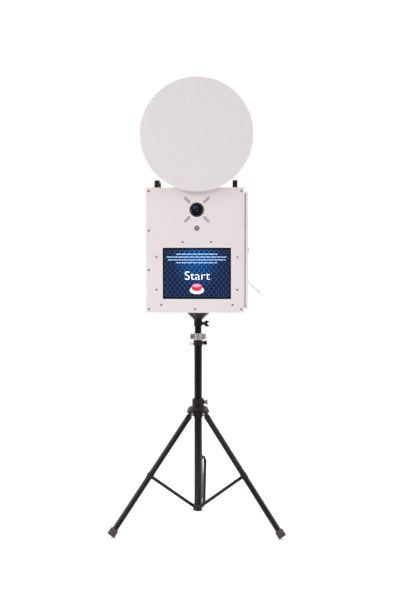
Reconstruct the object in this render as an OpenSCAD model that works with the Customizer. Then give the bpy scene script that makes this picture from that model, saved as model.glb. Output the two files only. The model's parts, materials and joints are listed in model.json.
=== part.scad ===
// Photo booth: a cabinet with camera, touch screen and printer, on a folding speaker stand,
// with a tilting flash and a covered beauty dish above it.
// Millimetres, +Z up, front towards -Y. The origin is on the floor, on the mast's axis.

/* [Cabinet] */
// Width of the front panel
cab_w = 486; // [430:1:620]
// Height of the front panel
cab_h = 615; // [560:1:760]
// Depth of the cabinet
cab_d = 360; // [340:1:460]
// Height of the cabinet's underside above the floor
cab_z = 1110; // [920:1:1500]
// Thickness of the front panel
front_t = 8; // [6:0.5:12]
// Thickness of the other panels
wall_t = 6; // [4:0.5:9]
// Width of the bevel around the front panel
bevel_w = 8; // [3:0.5:12]

/* [Screen and camera] */
// Width of the screen opening
screen_w = 336; // [280:1:350]
// Height of the screen opening
screen_h = 252; // [200:1:270]
// Height of the screen's centre above the cabinet's underside
screen_up = 194; // [170:1:230]
// Diameter of the camera lens
lens_d = 68; // [55:1:82]
// Depth of the lens axis below the cabinet's top
lens_down = 109; // [90:1:130]
// Depth of the button below the lens axis
button_down = 90; // [75:1:110]
// Diameter of the button's bezel
bezel_d = 26; // [20:1:32]

/* [Door and tray] */
// Thickness of the door
door_t = 12; // [8:0.5:16]
// Thickness of the seal between door and cabinet
seal_t = 6; // [4:0.5:8]
// Gap left above and below the door
door_inset = 19; // [12:1:30]
// Width of the print slot, front to back
slot_w = 168; // [156:1:200]
// Height of the print slot
slot_h = 22; // [14:1:30]
// Height of the print slot's centre above the cabinet's underside
slot_up = 180; // [160:1:220]
// Reach of the print tray
tray_reach = 80; // [60:1:110]

/* [Flash] */
// Diameter of the beauty dish
dish_d = 548; // [460:1:660]
// Depth of the beauty dish
dish_depth = 168; // [140:1:210]
// Distance from the cabinet's front to the dish's rim
dish_lead = 42; // [36:1:70]
// Height of the dish's lowest point below the cabinet's top
dish_drop = 22; // [0:1:30]
// Diameter of the flash head
flash_d = 110; // [90:1:130]

/* [Stand] */
// Diameter of the inner tube, which fits the pole mount
inner_d = 35; // [30:0.5:38]
// Diameter of the main tube
main_d = 40; // [40:0.5:46]
// Length of the inner tube
inner_l = 780; // [650:1:900]
// Length of inner tube that shows between stand and pole mount
mast_gap = 37; // [37:1:120]
// Height of the leg pivots
hub_z = 580; // [480:1:700]
// Angle between each leg and the mast
leg_spread = 38.2; // [34:0.1:44]
// Diameter of the leg tubes
leg_d = 30; // [25:0.5:32]
// Diameter of the rubber feet
foot_d = 43; // [38:0.5:50]
// Distance along the leg from its pivot to the brace pivot
brace_at = 374; // [300:1:450]
// Diameter of the brace tubes
brace_d = 15; // [12:0.5:18]

/* [Hidden] */
$fn = 64;

// Clearances
run = 0.05;     // radial, around a pin that turns in a hole
clear = 0.3;    // between faces that pass each other
loose = 0.5;    // radial, between tubes that slide
cut = 1;        // overshoot of a cut

// Cabinet: edges and planes
cab_x = -(seal_t + door_t) / 2;
cab_left = cab_x - cab_w / 2;
cab_right = cab_x + cab_w / 2;
cab_front = -cab_d / 2;
cab_back = cab_d / 2;
cab_top = cab_z + cab_h;
inner_front = cab_front + front_t;
inner_back = cab_back - wall_t;
inner_floor = cab_z + wall_t;
inner_top = cab_top - wall_t;
bevel_t = bevel_w / 2;
post_leg = 20;
post_t = 2;

// Front panel: screen, lens, button and screws
screen_z = cab_z + screen_up;
lens_z = cab_top - lens_down;
button_z = lens_z - button_down;
lens_hole_d = lens_d + 3;
glass_gap = 0.5;
screw_head_d = 10;
screw_head_t = 2.4;
screw_d = 4;
edge_side = 15.5;
edge_end = 18;
frame_screw_x = screen_w / 2 + 31;
frame_screw_z = 80;
frame_top_x = 70;
frame_top_up = 28;
frame_low_x = screen_w / 2 + 8;
frame_low_down = 29;
rim_out = 7;
monitor_t = 40;
monitor_edge = 8;
frame_t = 3;
screen_face = cab_front + 3;

// Camera
camera_w = 140;
camera_h = 98;
camera_t = 58;
lens_l = 64;
lens_face = cab_front - 1.5;
lens_back = lens_face + lens_l;
shelf_t = 3;
shelf_w = 160;

// Door, lock and tray
door_x = cab_right + seal_t;
door_face = door_x + door_t;
door_front = inner_front + 2;
door_low = cab_z + door_inset;
door_high = cab_top - door_inset;
rail_w = 40;
slot_z = cab_z + slot_up;
slot_y = 24;
knuckle_d = 9;
hinge_pin_d = 4;
hinge_h = 60;
hinge_t = 2;
hinge_x = cab_right + seal_t / 2;
hinge_y = cab_back + knuckle_d / 2 + 0.5;
hinge_inset = 70;
hinge_third = hinge_h / 3;
hinge_places = [door_low + hinge_inset, door_high - hinge_inset - hinge_h];
lock_y = inner_front + rail_w + 14;
lock_z = door_low + 0.5 * (door_high - door_low);
lock_d = 20;
cam_l = 30;
cam_t = 3;
cam_x = cab_right - wall_t - clear - cam_t;
tray_t = 3;
tray_w = slot_w + 10;
tray_lip = 30;

// Handles
handle_w = 24;
handle_up = 48;
handle_l = 138;
handle_t = 13;
handle_off = cab_w / 2 - 46;

// Printer and computer
printer_l = 340;
printer_w = 275;
printer_h = 168;
printer_exit_up = 105;
shelf_z = slot_z - printer_exit_up - shelf_t;
printer_y = inner_back - 8 - printer_w / 2;
printer_x = cab_right - wall_t - 14 - printer_l / 2;
pc_w = 190;
pc_d = 180;
pc_h = 36;

// Rear panel
vent_w = 120;
vent_h = 6;
vent_pitch = 16;
vent_rows = 6;
inlet_w = 48;
inlet_h = 28;
inlet_x = cab_left + 70;
inlet_z = cab_z + 55;

// Flash and dish
dish_r = dish_d / 2;
dish_t = 2;
dish_neck_r = 62;
dish_y = cab_front - dish_lead;
dish_back = dish_y + dish_depth;
dish_z = cab_top - dish_drop + dish_r;
lip_l = 12;
dish_steps = 12;
sock_t = 1.6;
flash_l = 190;
tilt_y = dish_back + 76;
tilt_drop = flash_d / 2 + 26;
tilt_z = dish_z - tilt_drop;
ear_t = 6;
lug_t = 12;
tilt_pin_d = 10;
post_d = 28;
post_base = 110;
post_base_t = 6;

// Stand: mast
tube_wall = 2;
main_r = main_d / 2;
inner_r = inner_d / 2;
bore_r = inner_r + loose;
mount_l = 78;
mount_wall = 3.5;
mount_r = bore_r + mount_wall;
mount_plate_t = 6;
mount_plate_d = 150;
mount_cone_d = 118;
mount_cone_z = 34;
mount_low = cab_z - mount_l;
pole_knob_turn = -35;
pole_knob_z = mount_low + 14.5;
clamp_h = 35;
clamp_low = mount_low - mast_gap - clamp_h;
collar_h = 28;
collar_gap = 1;
collar_low = clamp_low - collar_gap - collar_h;
main_top = clamp_low + clamp_h - 4;
inner_high = cab_z - mount_plate_t - 6;
inner_low = inner_high - inner_l;
collar_r = main_r + 4;
pin_z = collar_low + 8;
pin_d = 8;
pin_out = 13;
pin_pitch = 110;
knob_z = collar_low + collar_h / 2;

// Stand: hub, legs and braces
leg_azimuths = [-150, -30, 90];
pivot_r = main_r + 22;
leg_r = leg_d / 2;
foot_r = foot_d / 2;
foot_h = 38;
foot_floor = 5;
foot_flat = 1.7;
leg_l = (hub_z - foot_r * sin(leg_spread) + foot_flat) / cos(leg_spread);
leg_wall = 1.6;
leg_lug_t = 12;
leg_lug_r = 9;
leg_start = 22;
leg_pin_d = 8;
cheek_t = 5;
cheek_y = leg_lug_t / 2 + clear;
hub_sleeve_r = main_r + loose + 4.5;
hub_root = 2;      // depth that the dome and the cheeks run into the sleeve
hub_low = hub_z - 19;
hub_high = hub_z + 39;
hub_rim_r = pivot_r + 19;
hub_rim_z = hub_z + 8;
hub_clamp_r = main_r + 9.5;
hub_clamp_h = 38;
brace_r = 13;
brace_z = 88;
brace_end_r = 8;
brace_end_t = 5;
brace_pin_d = 8;
brace_plane = main_r + 1;
brace_low_z = 72;
foot_collar_h = 32;
foot_collar_r = main_r + 6.5;
brace_top_r = pivot_r + brace_at * sin(leg_spread);
brace_top_z = hub_z - brace_at * cos(leg_spread);
brace_run = brace_top_r - brace_r;
brace_rise = brace_top_z - brace_z;
brace_l = norm([brace_run, brace_rise]);
brace_tilt = atan2(brace_run, brace_rise);
bracket_l = 30;
bracket_t = 3;

// Colours
black = "#1c1b1d";
soft_black = "#2b292b";
white = "#e9e3e4";
silver = "#b1aaae";
taupe = "#b7aaa8";

// ---- shared shapes ----

// A block given by its low and high corners
module block(low, high) translate(low) cube(high - low);

// A rod along +X, +Y or +Z from a start point
module rod_x(p, d, l) translate(p) rotate([0, 90, 0]) cylinder(d = d, h = l);
module rod_y(p, d, l) translate(p) rotate([-90, 0, 0]) cylinder(d = d, h = l);
module rod_z(p, d, l) translate(p) cylinder(d = d, h = l);

// A tube along Z
module tube_z(r_out, r_in, low, high) {
    translate([0, 0, low]) difference() {
        cylinder(r = r_out, h = high - low);
        translate([0, 0, -cut]) cylinder(r = r_in, h = high - low + 2 * cut);
    }
}

// A wing knob along +X: screw, washer, neck and two wings
module wing_knob(screw_d, screw_l, neck_l, wing_l, wing_span, wing_t) {
    rod_x([-screw_l, 0, 0], screw_d, screw_l + 2);
    rod_x([0, 0, 0], screw_d + 8, 1.6);
    rod_x([1.6, 0, 0], screw_d + 6, neck_l);
    translate([1.6 + neck_l, -wing_t / 2, 0]) rotate([-90, 0, 0]) linear_extrude(wing_t)
        polygon([[-2, 5], [4, 6], [wing_l * 0.45, wing_span / 2], [wing_l, wing_span / 2],
                 [wing_l, wing_span / 4], [wing_l * 0.7, 3], [wing_l * 0.7, -3],
                 [wing_l, -wing_span / 4], [wing_l, -wing_span / 2],
                 [wing_l * 0.45, -wing_span / 2], [4, -6], [-2, -5]]);
}

// ---- mast ----

module main_tube() color(black) difference() {
    tube_z(main_r, main_r - tube_wall, brace_low_z - 2, main_top);
    rod_x([-main_r - cut, 0, pin_z], pin_d + 1, main_r + cut);
    rod_x([0, 0, knob_z], pin_d + 1, main_r + cut);
}

module foot_collar() color(black) {
    difference() {
        tube_z(foot_collar_r, main_r, brace_low_z, brace_low_z + foot_collar_h);
        for (a = leg_azimuths) rotate([0, 0, a])
            block([-foot_collar_r - cut, -foot_collar_r - cut, brace_low_z - cut],
                  [foot_collar_r + cut, -brace_plane + clear, brace_low_z + foot_collar_h + cut]);
    }
    for (a = leg_azimuths) rotate([0, 0, a]) brace_rivet();
}

// The rivet that a brace turns on, at the collar
module brace_rivet() {
    shank = brace_end_t + 2 * clear;
    rod_y([brace_r, -brace_plane + clear - shank, brace_z], brace_pin_d - 2 * run, shank + 0.5);
    rod_y([brace_r, -brace_plane + clear - shank - 3, brace_z], brace_pin_d + 5, 3);
}

module top_clamp() color(silver) {
    ear_l = 20;
    ear_z = clamp_low + 4;
    ear_h = clamp_h - 8;
    difference() {
        union() {
            tube_z(main_r + 2.5, main_r, clamp_low, main_top);
            tube_z(main_r + 2.5, inner_r + loose, main_top, clamp_low + clamp_h);
            difference() {
                union() {
                    block([-main_r - ear_l, -9, ear_z], [-main_r + 2, 9, ear_z + ear_h]);
                    block([main_r - 2, -9, ear_z], [main_r + ear_l, 9, ear_z + ear_h]);
                }
                rod_z([0, 0, clamp_low - cut], main_d, clamp_h + 2 * cut);
            }
        }
        block([-main_r - ear_l - cut, -1.5, clamp_low - cut], [-main_r - 2.4, 1.5, main_top + 9]);
        rod_y([-main_r - 11, -9 - cut, ear_z + ear_h / 2], 8.5, 18 + 2 * cut);
    }
}

module clamp_bolt() color(silver) translate([-main_r - 11, 0, clamp_low + clamp_h / 2]) {
    rod_y([0, -9, 0], 8, 18);
    rod_y([0, -14, 0], 13, 5);
    translate([0, 15, 0]) rotate([90, 0, 0]) cylinder(d = 15, h = 6, $fn = 6);
}

module pin_collar() color(black) difference() {
    union() {
        tube_z(collar_r, main_r, collar_low, collar_low + collar_h);
        rod_x([main_r - 1, 0, knob_z], 16, 6);
    }
    rod_z([0, 0, collar_low - cut], main_d, collar_h + 2 * cut);
    rod_x([-collar_r - cut, 0, pin_z], pin_d + 1, collar_r + cut);
    rod_x([0, 0, knob_z], pin_d + 1, collar_r + 8);
}

module mast_knob() color(black) translate([main_r + 5, 0, knob_z]) {
    rod_x([-main_r - 4.5 + inner_r + clear, 0, 0], pin_d, main_r - inner_r + 6);
    rod_x([clear, 0, 0], 13, 3);
    difference() {
        rod_x([3, 0, 0], 21, 18);
        for (a = [0:45:315]) rotate([a, 0, 0]) rod_x([2, 0, 12], 6, 20);
    }
}

module locking_pin() color(black) {
    rod_x([-main_r - pin_out, 0, pin_z], pin_d, pin_out + main_r - inner_r - clear);
    rod_x([-main_r - pin_out, 0, pin_z], pin_d + 4, 2);
    translate([-main_r - pin_out - 5, 0, pin_z]) rotate([90, 0, 0])
        rotate_extrude() translate([6, 0]) circle(r = 1.5, $fn = 24);
}

module inner_tube() color(black) difference() {
    tube_z(inner_r, inner_r - tube_wall, inner_low, inner_high);
    for (i = [0:5])
        rod_x([-inner_r - cut, 0, pin_z - pin_pitch * i], pin_d + 1, inner_d + 2 * cut);
}

// ---- hub and legs ----

module hub() color(black) difference() {
    union() {
        tube_z(hub_sleeve_r, main_r + loose, hub_low, hub_high);
        hub_dome();
        for (a = leg_azimuths) rotate([0, 0, a]) hub_cheeks();
    }
    for (a = leg_azimuths) rotate([0, 0, a])
        rod_y([pivot_r, -cheek_y - cheek_t - cut, hub_z], leg_pin_d, 2 * (cheek_y + cheek_t + cut));
}

// The domed cap that joins the three leg sockets
module hub_dome() rotate_extrude() polygon([
    [hub_sleeve_r - hub_root, hub_high], [hub_sleeve_r + 5, hub_high],
    for (a = [80:-10:0]) [hub_sleeve_r + 5 + (hub_rim_r - hub_sleeve_r - 5) * cos(a),
                          hub_rim_z + (hub_high - hub_rim_z) * sin(a)],
    [hub_rim_r, hub_rim_z - 4], [hub_rim_r - 4, hub_rim_z - 4], [hub_rim_r - 4, hub_rim_z + 2],
    [hub_rim_r - 14, hub_rim_z + 14], [hub_sleeve_r - hub_root, hub_rim_z + 16]
]);

// The pair of cheeks on each side of a leg's lug
module hub_cheeks() for (s = [-1, 1]) translate([0, s * (cheek_y + cheek_t / 2), 0]) {
    rod_y([pivot_r, -cheek_t / 2, hub_z], 2 * leg_lug_r + 4, cheek_t);
    block([hub_sleeve_r - hub_root, -cheek_t / 2, hub_z - leg_lug_r], [pivot_r, cheek_t / 2, hub_z + 20]);
    block([pivot_r - 4, -cheek_t / 2, hub_z], [pivot_r + leg_lug_r, cheek_t / 2, hub_z + 20]);
}

module leg_pins() color(silver) for (a = leg_azimuths) rotate([0, 0, a]) {
    reach = cheek_y + cheek_t;
    rod_y([pivot_r, -reach, hub_z], leg_pin_d, 2 * reach);
    for (s = [-1, 1]) rod_y([pivot_r, s * (reach + 1.5) - 1.5, hub_z], leg_pin_d + 5, 3);
}

module hub_clamp() color(black) difference() {
    union() {
        tube_z(hub_clamp_r, main_r + loose, hub_high, hub_high + hub_clamp_h);
        rod_x([main_r + 2, 0, hub_high + hub_clamp_h / 2], 18, 9.5);
    }
    rod_z([0, 0, hub_high - cut], main_d + 2 * loose, hub_clamp_h + 2 * cut);
    rod_x([0, 0, hub_high + hub_clamp_h / 2], 8 + 2 * clear, hub_clamp_r + 6);
}

module hub_knob() color(silver)
    translate([main_r + 12, 0, hub_high + hub_clamp_h / 2])
        wing_knob(8, 11, 2, 15, 28, 6);

// Puts its children in a leg's frame: -Z along the leg from its pivot, +X on its upper side
module in_leg(azimuth) rotate([0, 0, azimuth]) translate([pivot_r, 0, hub_z])
    rotate([0, -leg_spread, 0]) children();

module leg(azimuth) color(black) in_leg(azimuth) difference() {
    union() {
        translate([0, 0, -leg_l + foot_floor]) difference() {
            cylinder(r = leg_r, h = leg_l - foot_floor - leg_start);
            translate([0, 0, -cut])
                cylinder(r = leg_r - leg_wall, h = leg_l - foot_floor - leg_start - 12);
        }
        rod_y([0, -leg_lug_t / 2, 0], 2 * leg_lug_r, leg_lug_t);
        block([-leg_lug_r, -leg_lug_t / 2, -leg_start - 2], [leg_lug_r, leg_lug_t / 2, 0]);
    }
    rod_y([0, -leg_lug_t / 2 - cut, 0], leg_pin_d + 2 * run, leg_lug_t + 2 * cut);
}

module leg_bracket(azimuth) color(black) in_leg(azimuth) translate([0, 0, -brace_at]) {
    difference() {
        union() {
            translate([0, 0, -bracket_l / 2]) cylinder(r = leg_r + bracket_t, h = bracket_l);
            rod_y([0, -brace_plane + clear, 0], 18, brace_plane - clear);
            rod_x([leg_r, 0, 0], 12, bracket_t + 4);
        }
        translate([0, 0, -bracket_l]) cylinder(r = leg_r, h = 2 * bracket_l);
    }
}

module foot(azimuth) color(soft_black) difference() {
    in_leg(azimuth) translate([0, 0, -leg_l]) difference() {
        union() {
            cylinder(r = foot_r, h = foot_h - 3);
            translate([0, 0, foot_h - 3]) cylinder(r1 = foot_r, r2 = foot_r - 2, h = 3);
        }
        translate([0, 0, foot_floor]) cylinder(r = leg_r, h = foot_h);
    }
    translate([0, 0, -50]) cube([1400, 1400, 100], center = true);
}

module brace(azimuth) color(black) rotate([0, 0, azimuth]) translate([brace_r, 0, brace_z])
    rotate([0, brace_tilt, 0]) difference() {
        union() {
            rod_z([0, -brace_plane - brace_d / 2, 14], brace_d, brace_l - 28);
            for (z = [0, brace_l]) rod_y([0, -brace_plane - brace_end_t, z], 2 * brace_end_r, brace_end_t);
            block([-brace_end_r, -brace_plane - brace_end_t, 0], [brace_end_r, -brace_plane, 28]);
            block([-brace_end_r, -brace_plane - brace_end_t, brace_l - 28],
                  [brace_end_r, -brace_plane, brace_l]);
            rod_y([0, -brace_plane - brace_end_t - 3, brace_l], brace_pin_d + 5, 3.5);
        }
        rod_y([0, -brace_plane - brace_end_t - cut, 0], brace_pin_d, brace_end_t + 2 * cut);
    }

// ---- pole mount ----

module pole_mount() color(black) difference() {
    union() {
        rod_z([0, 0, cab_z - mount_plate_t], mount_plate_d, mount_plate_t);
        translate([0, 0, cab_z - mount_plate_t - mount_cone_z])
            cylinder(d1 = 2 * mount_r, d2 = mount_cone_d, h = mount_cone_z);
        rod_z([0, 0, mount_low], 2 * mount_r, mount_l - mount_plate_t);
        rotate([0, 0, pole_knob_turn]) rod_x([bore_r + 1, 0, pole_knob_z], 16, 7);
    }
    rod_z([0, 0, mount_low - cut], 2 * bore_r, inner_high + 2 - mount_low + cut);
    rotate([0, 0, pole_knob_turn]) rod_x([0, 0, pole_knob_z], 8 + 2 * clear, bore_r + 12);
}

module pole_knob() color(black) rotate([0, 0, pole_knob_turn])
    translate([bore_r + 8 + clear, 0, pole_knob_z])
        wing_knob(8, 8, 8, 30, 30, 8);

// ---- cabinet shell ----

module front_panel() color(white) difference() {
    intersection() {
        translate([cab_x, 0, cab_z - cut]) linear_extrude(cab_h + 2 * cut)
            polygon(bevel_outline(cab_w));
        translate([cab_left - cut, 0, cab_z + cab_h / 2]) rotate([90, 0, 90])
            linear_extrude(cab_w + 2 * cut) polygon([for (p = bevel_outline(cab_h)) [p[1], p[0]]]);
    }
    rod_y([0, cab_front - cut, lens_z], lens_hole_d, front_t + 2 * cut);
    rod_y([0, cab_front - cut, button_z], bezel_d - 4, front_t + 2 * cut);
    block([-screen_w / 2, cab_front - cut, screen_z - screen_h / 2],
          [screen_w / 2, inner_front + cut, screen_z + screen_h / 2]);
    for (p = panel_screw_places()) rod_y([p[0], cab_front - cut, p[1]], screw_d, front_t + 2 * cut);
}

// A slab's section with both front corners bevelled: [across, depth]
function bevel_outline(width) = [
    [-width / 2, inner_front], [-width / 2, cab_front + bevel_t], [-width / 2 + bevel_w, cab_front],
    [width / 2 - bevel_w, cab_front], [width / 2, cab_front + bevel_t], [width / 2, inner_front]];

// Front screws: [x, z]. The cabinet's edge screws, then those of the monitor frame
function panel_screw_places() = concat(
    [for (i = [0:3]) [cab_left + edge_side, cab_z + edge_end + i * (cab_h - 2 * edge_end) / 3]],
    [for (z = [cab_z + edge_end, cab_top - edge_end]) [cab_right - edge_side, z]],
    [[cab_x, cab_z + edge_end]],
    [for (s = [-1, 1], z = [-1, 1]) [s * frame_screw_x, screen_z + z * frame_screw_z]],
    [for (s = [-1, 1]) [s * frame_top_x, screen_z + screen_h / 2 + frame_top_up]],
    [for (s = [-1, 1]) [s * frame_low_x, screen_z - screen_h / 2 - frame_low_down]]);

module top_panel() color(white)
    block([cab_left, inner_front, inner_top], [cab_right, inner_back, cab_top]);

module bottom_panel() color(white)
    block([cab_left, inner_front, cab_z], [cab_right, inner_back, inner_floor]);

module left_panel() color(white)
    block([cab_left, inner_front, inner_floor], [cab_left + wall_t, inner_back, inner_top]);

module rear_panel() color(white) difference() {
    block([cab_left, inner_back, cab_z], [cab_right, cab_back, cab_top]);
    for (i = [0:vent_rows - 1], s = [-1, 1])
        block([cab_x + s * 90 - vent_w / 2, inner_back - cut, cab_top - 70 - vent_pitch * i],
              [cab_x + s * 90 + vent_w / 2, cab_back + cut, cab_top - 70 - vent_pitch * i + vent_h]);
    block([inlet_x - inlet_w / 2, inner_back - cut, inlet_z - inlet_h / 2],
          [inlet_x + inlet_w / 2, cab_back + cut, inlet_z + inlet_h / 2]);
}

// The right-hand side: four rails around the door's opening
module door_frame() color(white) {
    side_x = cab_right - wall_t;
    block([side_x, inner_front, inner_floor], [cab_right, inner_front + rail_w, inner_top]);
    block([side_x, inner_back - rail_w, inner_floor], [cab_right, inner_back, inner_top]);
    for (z = [inner_floor, inner_top - rail_w])
        block([side_x, inner_front + rail_w, z], [cab_right, inner_back - rail_w, z + rail_w]);
}

module corner_posts() color(silver) for (c = [[0, 0], [0, 1], [1, 0], [1, 1]])
    translate([c[0] == 0 ? cab_left + wall_t : cab_right - wall_t,
               c[1] == 0 ? inner_front : inner_back, inner_floor])
        mirror([c[0], 0, 0]) mirror([0, c[1], 0]) difference() {
            cube([post_leg, post_leg, inner_top - inner_floor]);
            translate([post_t, post_t, -cut]) cube([post_leg, post_leg, cab_h]);
        }

// Front screws, and those that hold the pole mount
module case_screws() color(taupe) {
    for (p = panel_screw_places()) {
        rod_y([p[0], cab_front - screw_head_t, p[1]], screw_head_d, screw_head_t);
        rod_y([p[0], cab_front - 0.5, p[1]], screw_d, front_t + 0.5);
    }
    for (a = [45:90:315]) rotate([0, 0, a])
        rod_z([mount_plate_d / 2 - 8, 0, cab_z - mount_plate_t - 3], 9, 3);
}

module carry_handles() color(soft_black) for (s = [-1, 1])
    translate([cab_x + s * handle_off - handle_w / 2, 0, cab_top]) rotate([90, 0, 90])
        linear_extrude(handle_w) difference() {
            polygon([[-handle_l / 2, 0], [-handle_l / 2 + 10, handle_up - 8],
                     [-handle_l / 2 + 20, handle_up], [handle_l / 2 - 20, handle_up],
                     [handle_l / 2 - 10, handle_up - 8], [handle_l / 2, 0]]);
            polygon([[-handle_l / 2 + 22, -cut], [-handle_l / 2 + 28, handle_up - handle_t - 4],
                     [-handle_l / 2 + 32, handle_up - handle_t], [handle_l / 2 - 32, handle_up - handle_t],
                     [handle_l / 2 - 28, handle_up - handle_t - 4], [handle_l / 2 - 22, -cut]]);
        }

// ---- door ----

module door() color(white) difference() {
    block([door_x, door_front, door_low], [door_face, cab_back, door_high]);
    block([door_x - cut, slot_y - slot_w / 2, slot_z - slot_h / 2],
          [door_face + cut, slot_y + slot_w / 2, slot_z + slot_h / 2]);
    rod_x([door_x - cut, lock_y, lock_z], lock_d + 2 * run, door_t + 2 * cut);
}

module door_seal() color(soft_black) difference() {
    block([cab_right, inner_front + 8, door_low + 6], [door_x - clear, inner_back - 4, door_high - 6]);
    block([cab_right - cut, inner_front + 22, door_low + 20], [door_x, inner_back - 18, door_high - 20]);
}

// The cabinet holds the outer thirds of each knuckle, and the door the middle one
module door_hinges() color(silver) for (z = hinge_places) translate([0, 0, z]) {
    for (k = [0, 2 * hinge_third + clear]) {
        rod_z([hinge_x, hinge_y, k], knuckle_d, hinge_third - clear);
        block([hinge_x - knuckle_d / 2, cab_back, k],
              [hinge_x, hinge_y - 2, k + hinge_third - clear]);
    }
    rod_z([hinge_x, hinge_y, 0], hinge_pin_d, hinge_h);
    block([cab_right - 34, cab_back, 0], [hinge_x - knuckle_d / 2, cab_back + hinge_t, hinge_h]);
    block([hinge_x - knuckle_d / 2 - 0.5, cab_back, 0],
          [hinge_x - knuckle_d / 2 + 1, cab_back + hinge_t, hinge_third - clear]);
    block([hinge_x - knuckle_d / 2 - 0.5, cab_back, 2 * hinge_third + clear],
          [hinge_x - knuckle_d / 2 + 1, cab_back + hinge_t, hinge_h]);
}

module hinge_leaves() color(silver) for (z = hinge_places) translate([0, 0, z]) difference() {
    union() {
        rod_z([hinge_x, hinge_y, hinge_third], knuckle_d, hinge_third);
        block([hinge_x, cab_back, hinge_third], [hinge_x + knuckle_d / 2 + 1, hinge_y - 2, 2 * hinge_third]);
        block([hinge_x + knuckle_d / 2 + 0.5, cab_back, 0], [door_face, cab_back + hinge_t, hinge_h]);
    }
    rod_z([hinge_x, hinge_y, -cut], hinge_pin_d + 2 * run, hinge_h + 2 * cut);
}

// A cam lock: head, barrel, and a cam that stands up clear of the rail until it is turned
module door_lock() color(silver) translate([0, lock_y, lock_z]) {
    difference() {
        rod_x([door_face + 0.2, 0, 0], lock_d + 6, 3.5);
        block([door_face + 2, -1, -5], [door_face + 5, 1, 5]);
    }
    rod_x([cam_x, 0, 0], lock_d, door_face + 0.2 - cam_x);
    block([cam_x, -8, 0], [cam_x + cam_t, 8, cam_l]);
}

// A bent clear sheet: a flange on the door, a slope away from it and an upturned lip
module print_tray() color("#eef2f3", 0.6) translate([door_face, slot_y - tray_w / 2, 0])
    mirror([0, 1, 0]) rotate([90, 0, 0]) linear_extrude(tray_w) {
        z0 = slot_z - slot_h / 2 - 3;
        slope = tray_reach - tray_t;
        polygon([
            [0, z0], [0, z0 - 26], [slope, z0 - 26 - slope], [tray_reach + 1, z0 - 24 - slope],
            [tray_reach - 3, z0 - 24 - slope + tray_lip], [tray_reach - 6, z0 - 24 - slope + tray_lip],
            [tray_reach - 3, z0 - 20 - slope], [tray_t, z0 - 21], [tray_t, z0]]);
    }

// ---- screen, camera and front fittings ----

module monitor() color(soft_black) difference() {
    block([-screen_w / 2 - monitor_edge, inner_front + frame_t, screen_z - screen_h / 2 - monitor_edge],
          [screen_w / 2 + monitor_edge, inner_front + frame_t + monitor_t,
           screen_z + screen_h / 2 + monitor_edge]);
    for (i = [-4:4])
        block([-60, inner_front + frame_t + monitor_t - 2, screen_z + 12 * i - 2],
              [60, inner_front + frame_t + monitor_t + cut, screen_z + 12 * i + 2]);
}

module screen() color("#1a4d9a")
    block([-screen_w / 2 + glass_gap, screen_face, screen_z - screen_h / 2 + glass_gap],
          [screen_w / 2 - glass_gap, inner_front + frame_t, screen_z + screen_h / 2 - glass_gap]);

module monitor_frame() color(black) difference() {
    block([-frame_screw_x - rim_out, inner_front, screen_z - screen_h / 2 - frame_low_down - rim_out],
          [frame_screw_x + rim_out, inner_front + frame_t,
           screen_z + screen_h / 2 + frame_top_up + rim_out]);
    block([-screen_w / 2, inner_front - cut, screen_z - screen_h / 2],
          [screen_w / 2, inner_front + frame_t + cut, screen_z + screen_h / 2]);
}

module camera_body() color(soft_black) {
    low = lens_z - camera_h / 2;
    block([-camera_w / 2, lens_back, low], [camera_w / 2, lens_back + camera_t, low + camera_h - 18]);
    block([-24, lens_back, low + camera_h - 19], [24, lens_back + camera_t, low + camera_h]);
    rod_z([-camera_w / 2 + 14, lens_back, low], 28, camera_h - 22);
}

module lens() color(soft_black) difference() {
    union() {
        rod_y([0, lens_face, lens_z], lens_d, 14);
        rod_y([0, lens_face + 14, lens_z], lens_d - 3, lens_l - 14);
    }
    rod_y([0, lens_face - cut, lens_z], lens_d - 10, 9 + cut);
}

module lens_glass() color("#15171c") translate([0, lens_face + 9, lens_z]) rotate([90, 0, 0])
    rotate_extrude() polygon([[0, 0], [lens_d / 2 - 5, 0],
        for (a = [0:10:90]) [(lens_d / 2 - 5.5) * cos(a), 0.5 + 6 * sin(a)]]);

module camera_shelf() color(silver) {
    shelf_top = lens_z - camera_h / 2;
    block([-shelf_w / 2, inner_front, shelf_top - shelf_t],
          [shelf_w / 2, lens_back + camera_t + 8, shelf_top]);
    for (s = [-1, 1]) block([s * (shelf_w / 2 - 11) - 11, inner_front, shelf_top - shelf_t - 22],
                            [s * (shelf_w / 2 - 11) + 11, inner_front + shelf_t, shelf_top]);
}

// Four flat arrows on the diagonals, pointing at the lens
module arrow_marks() color(taupe) translate([0, cab_front, lens_z]) rotate([90, 0, 0])
    linear_extrude(0.6) for (a = [45:90:315]) rotate(a) translate([lens_d / 2 + 11, 0])
        polygon([[0, 0], [13, 10], [13, 5], [38, 5], [38, -5], [13, -5], [13, -10]]);

module button_bezel() color(silver) difference() {
    union() {
        rod_y([0, cab_front - 2, button_z], bezel_d, 2);
        rod_y([0, cab_front - 1, button_z], bezel_d - 4 - 2 * run, front_t + 12);
    }
    rod_y([0, cab_front - 2 - cut, button_z], bezel_d - 8, 9 + cut);
}

module push_button() color(silver)
    rod_y([0, cab_front - 2.8, button_z], bezel_d - 8 - 2 * clear, 6);

// ---- inside ----

module printer() color(soft_black) difference() {
    union() {
        block([printer_x - printer_l / 2, printer_y - printer_w / 2, shelf_z + shelf_t],
              [printer_x + printer_l / 2, printer_y + printer_w / 2, shelf_z + shelf_t + printer_h]);
    }
    block([printer_x + printer_l / 2 - 30, slot_y - slot_w / 2 + 4, slot_z - 7],
          [printer_x + printer_l / 2 + cut, slot_y + slot_w / 2 - 4, slot_z + 7]);
}

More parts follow.
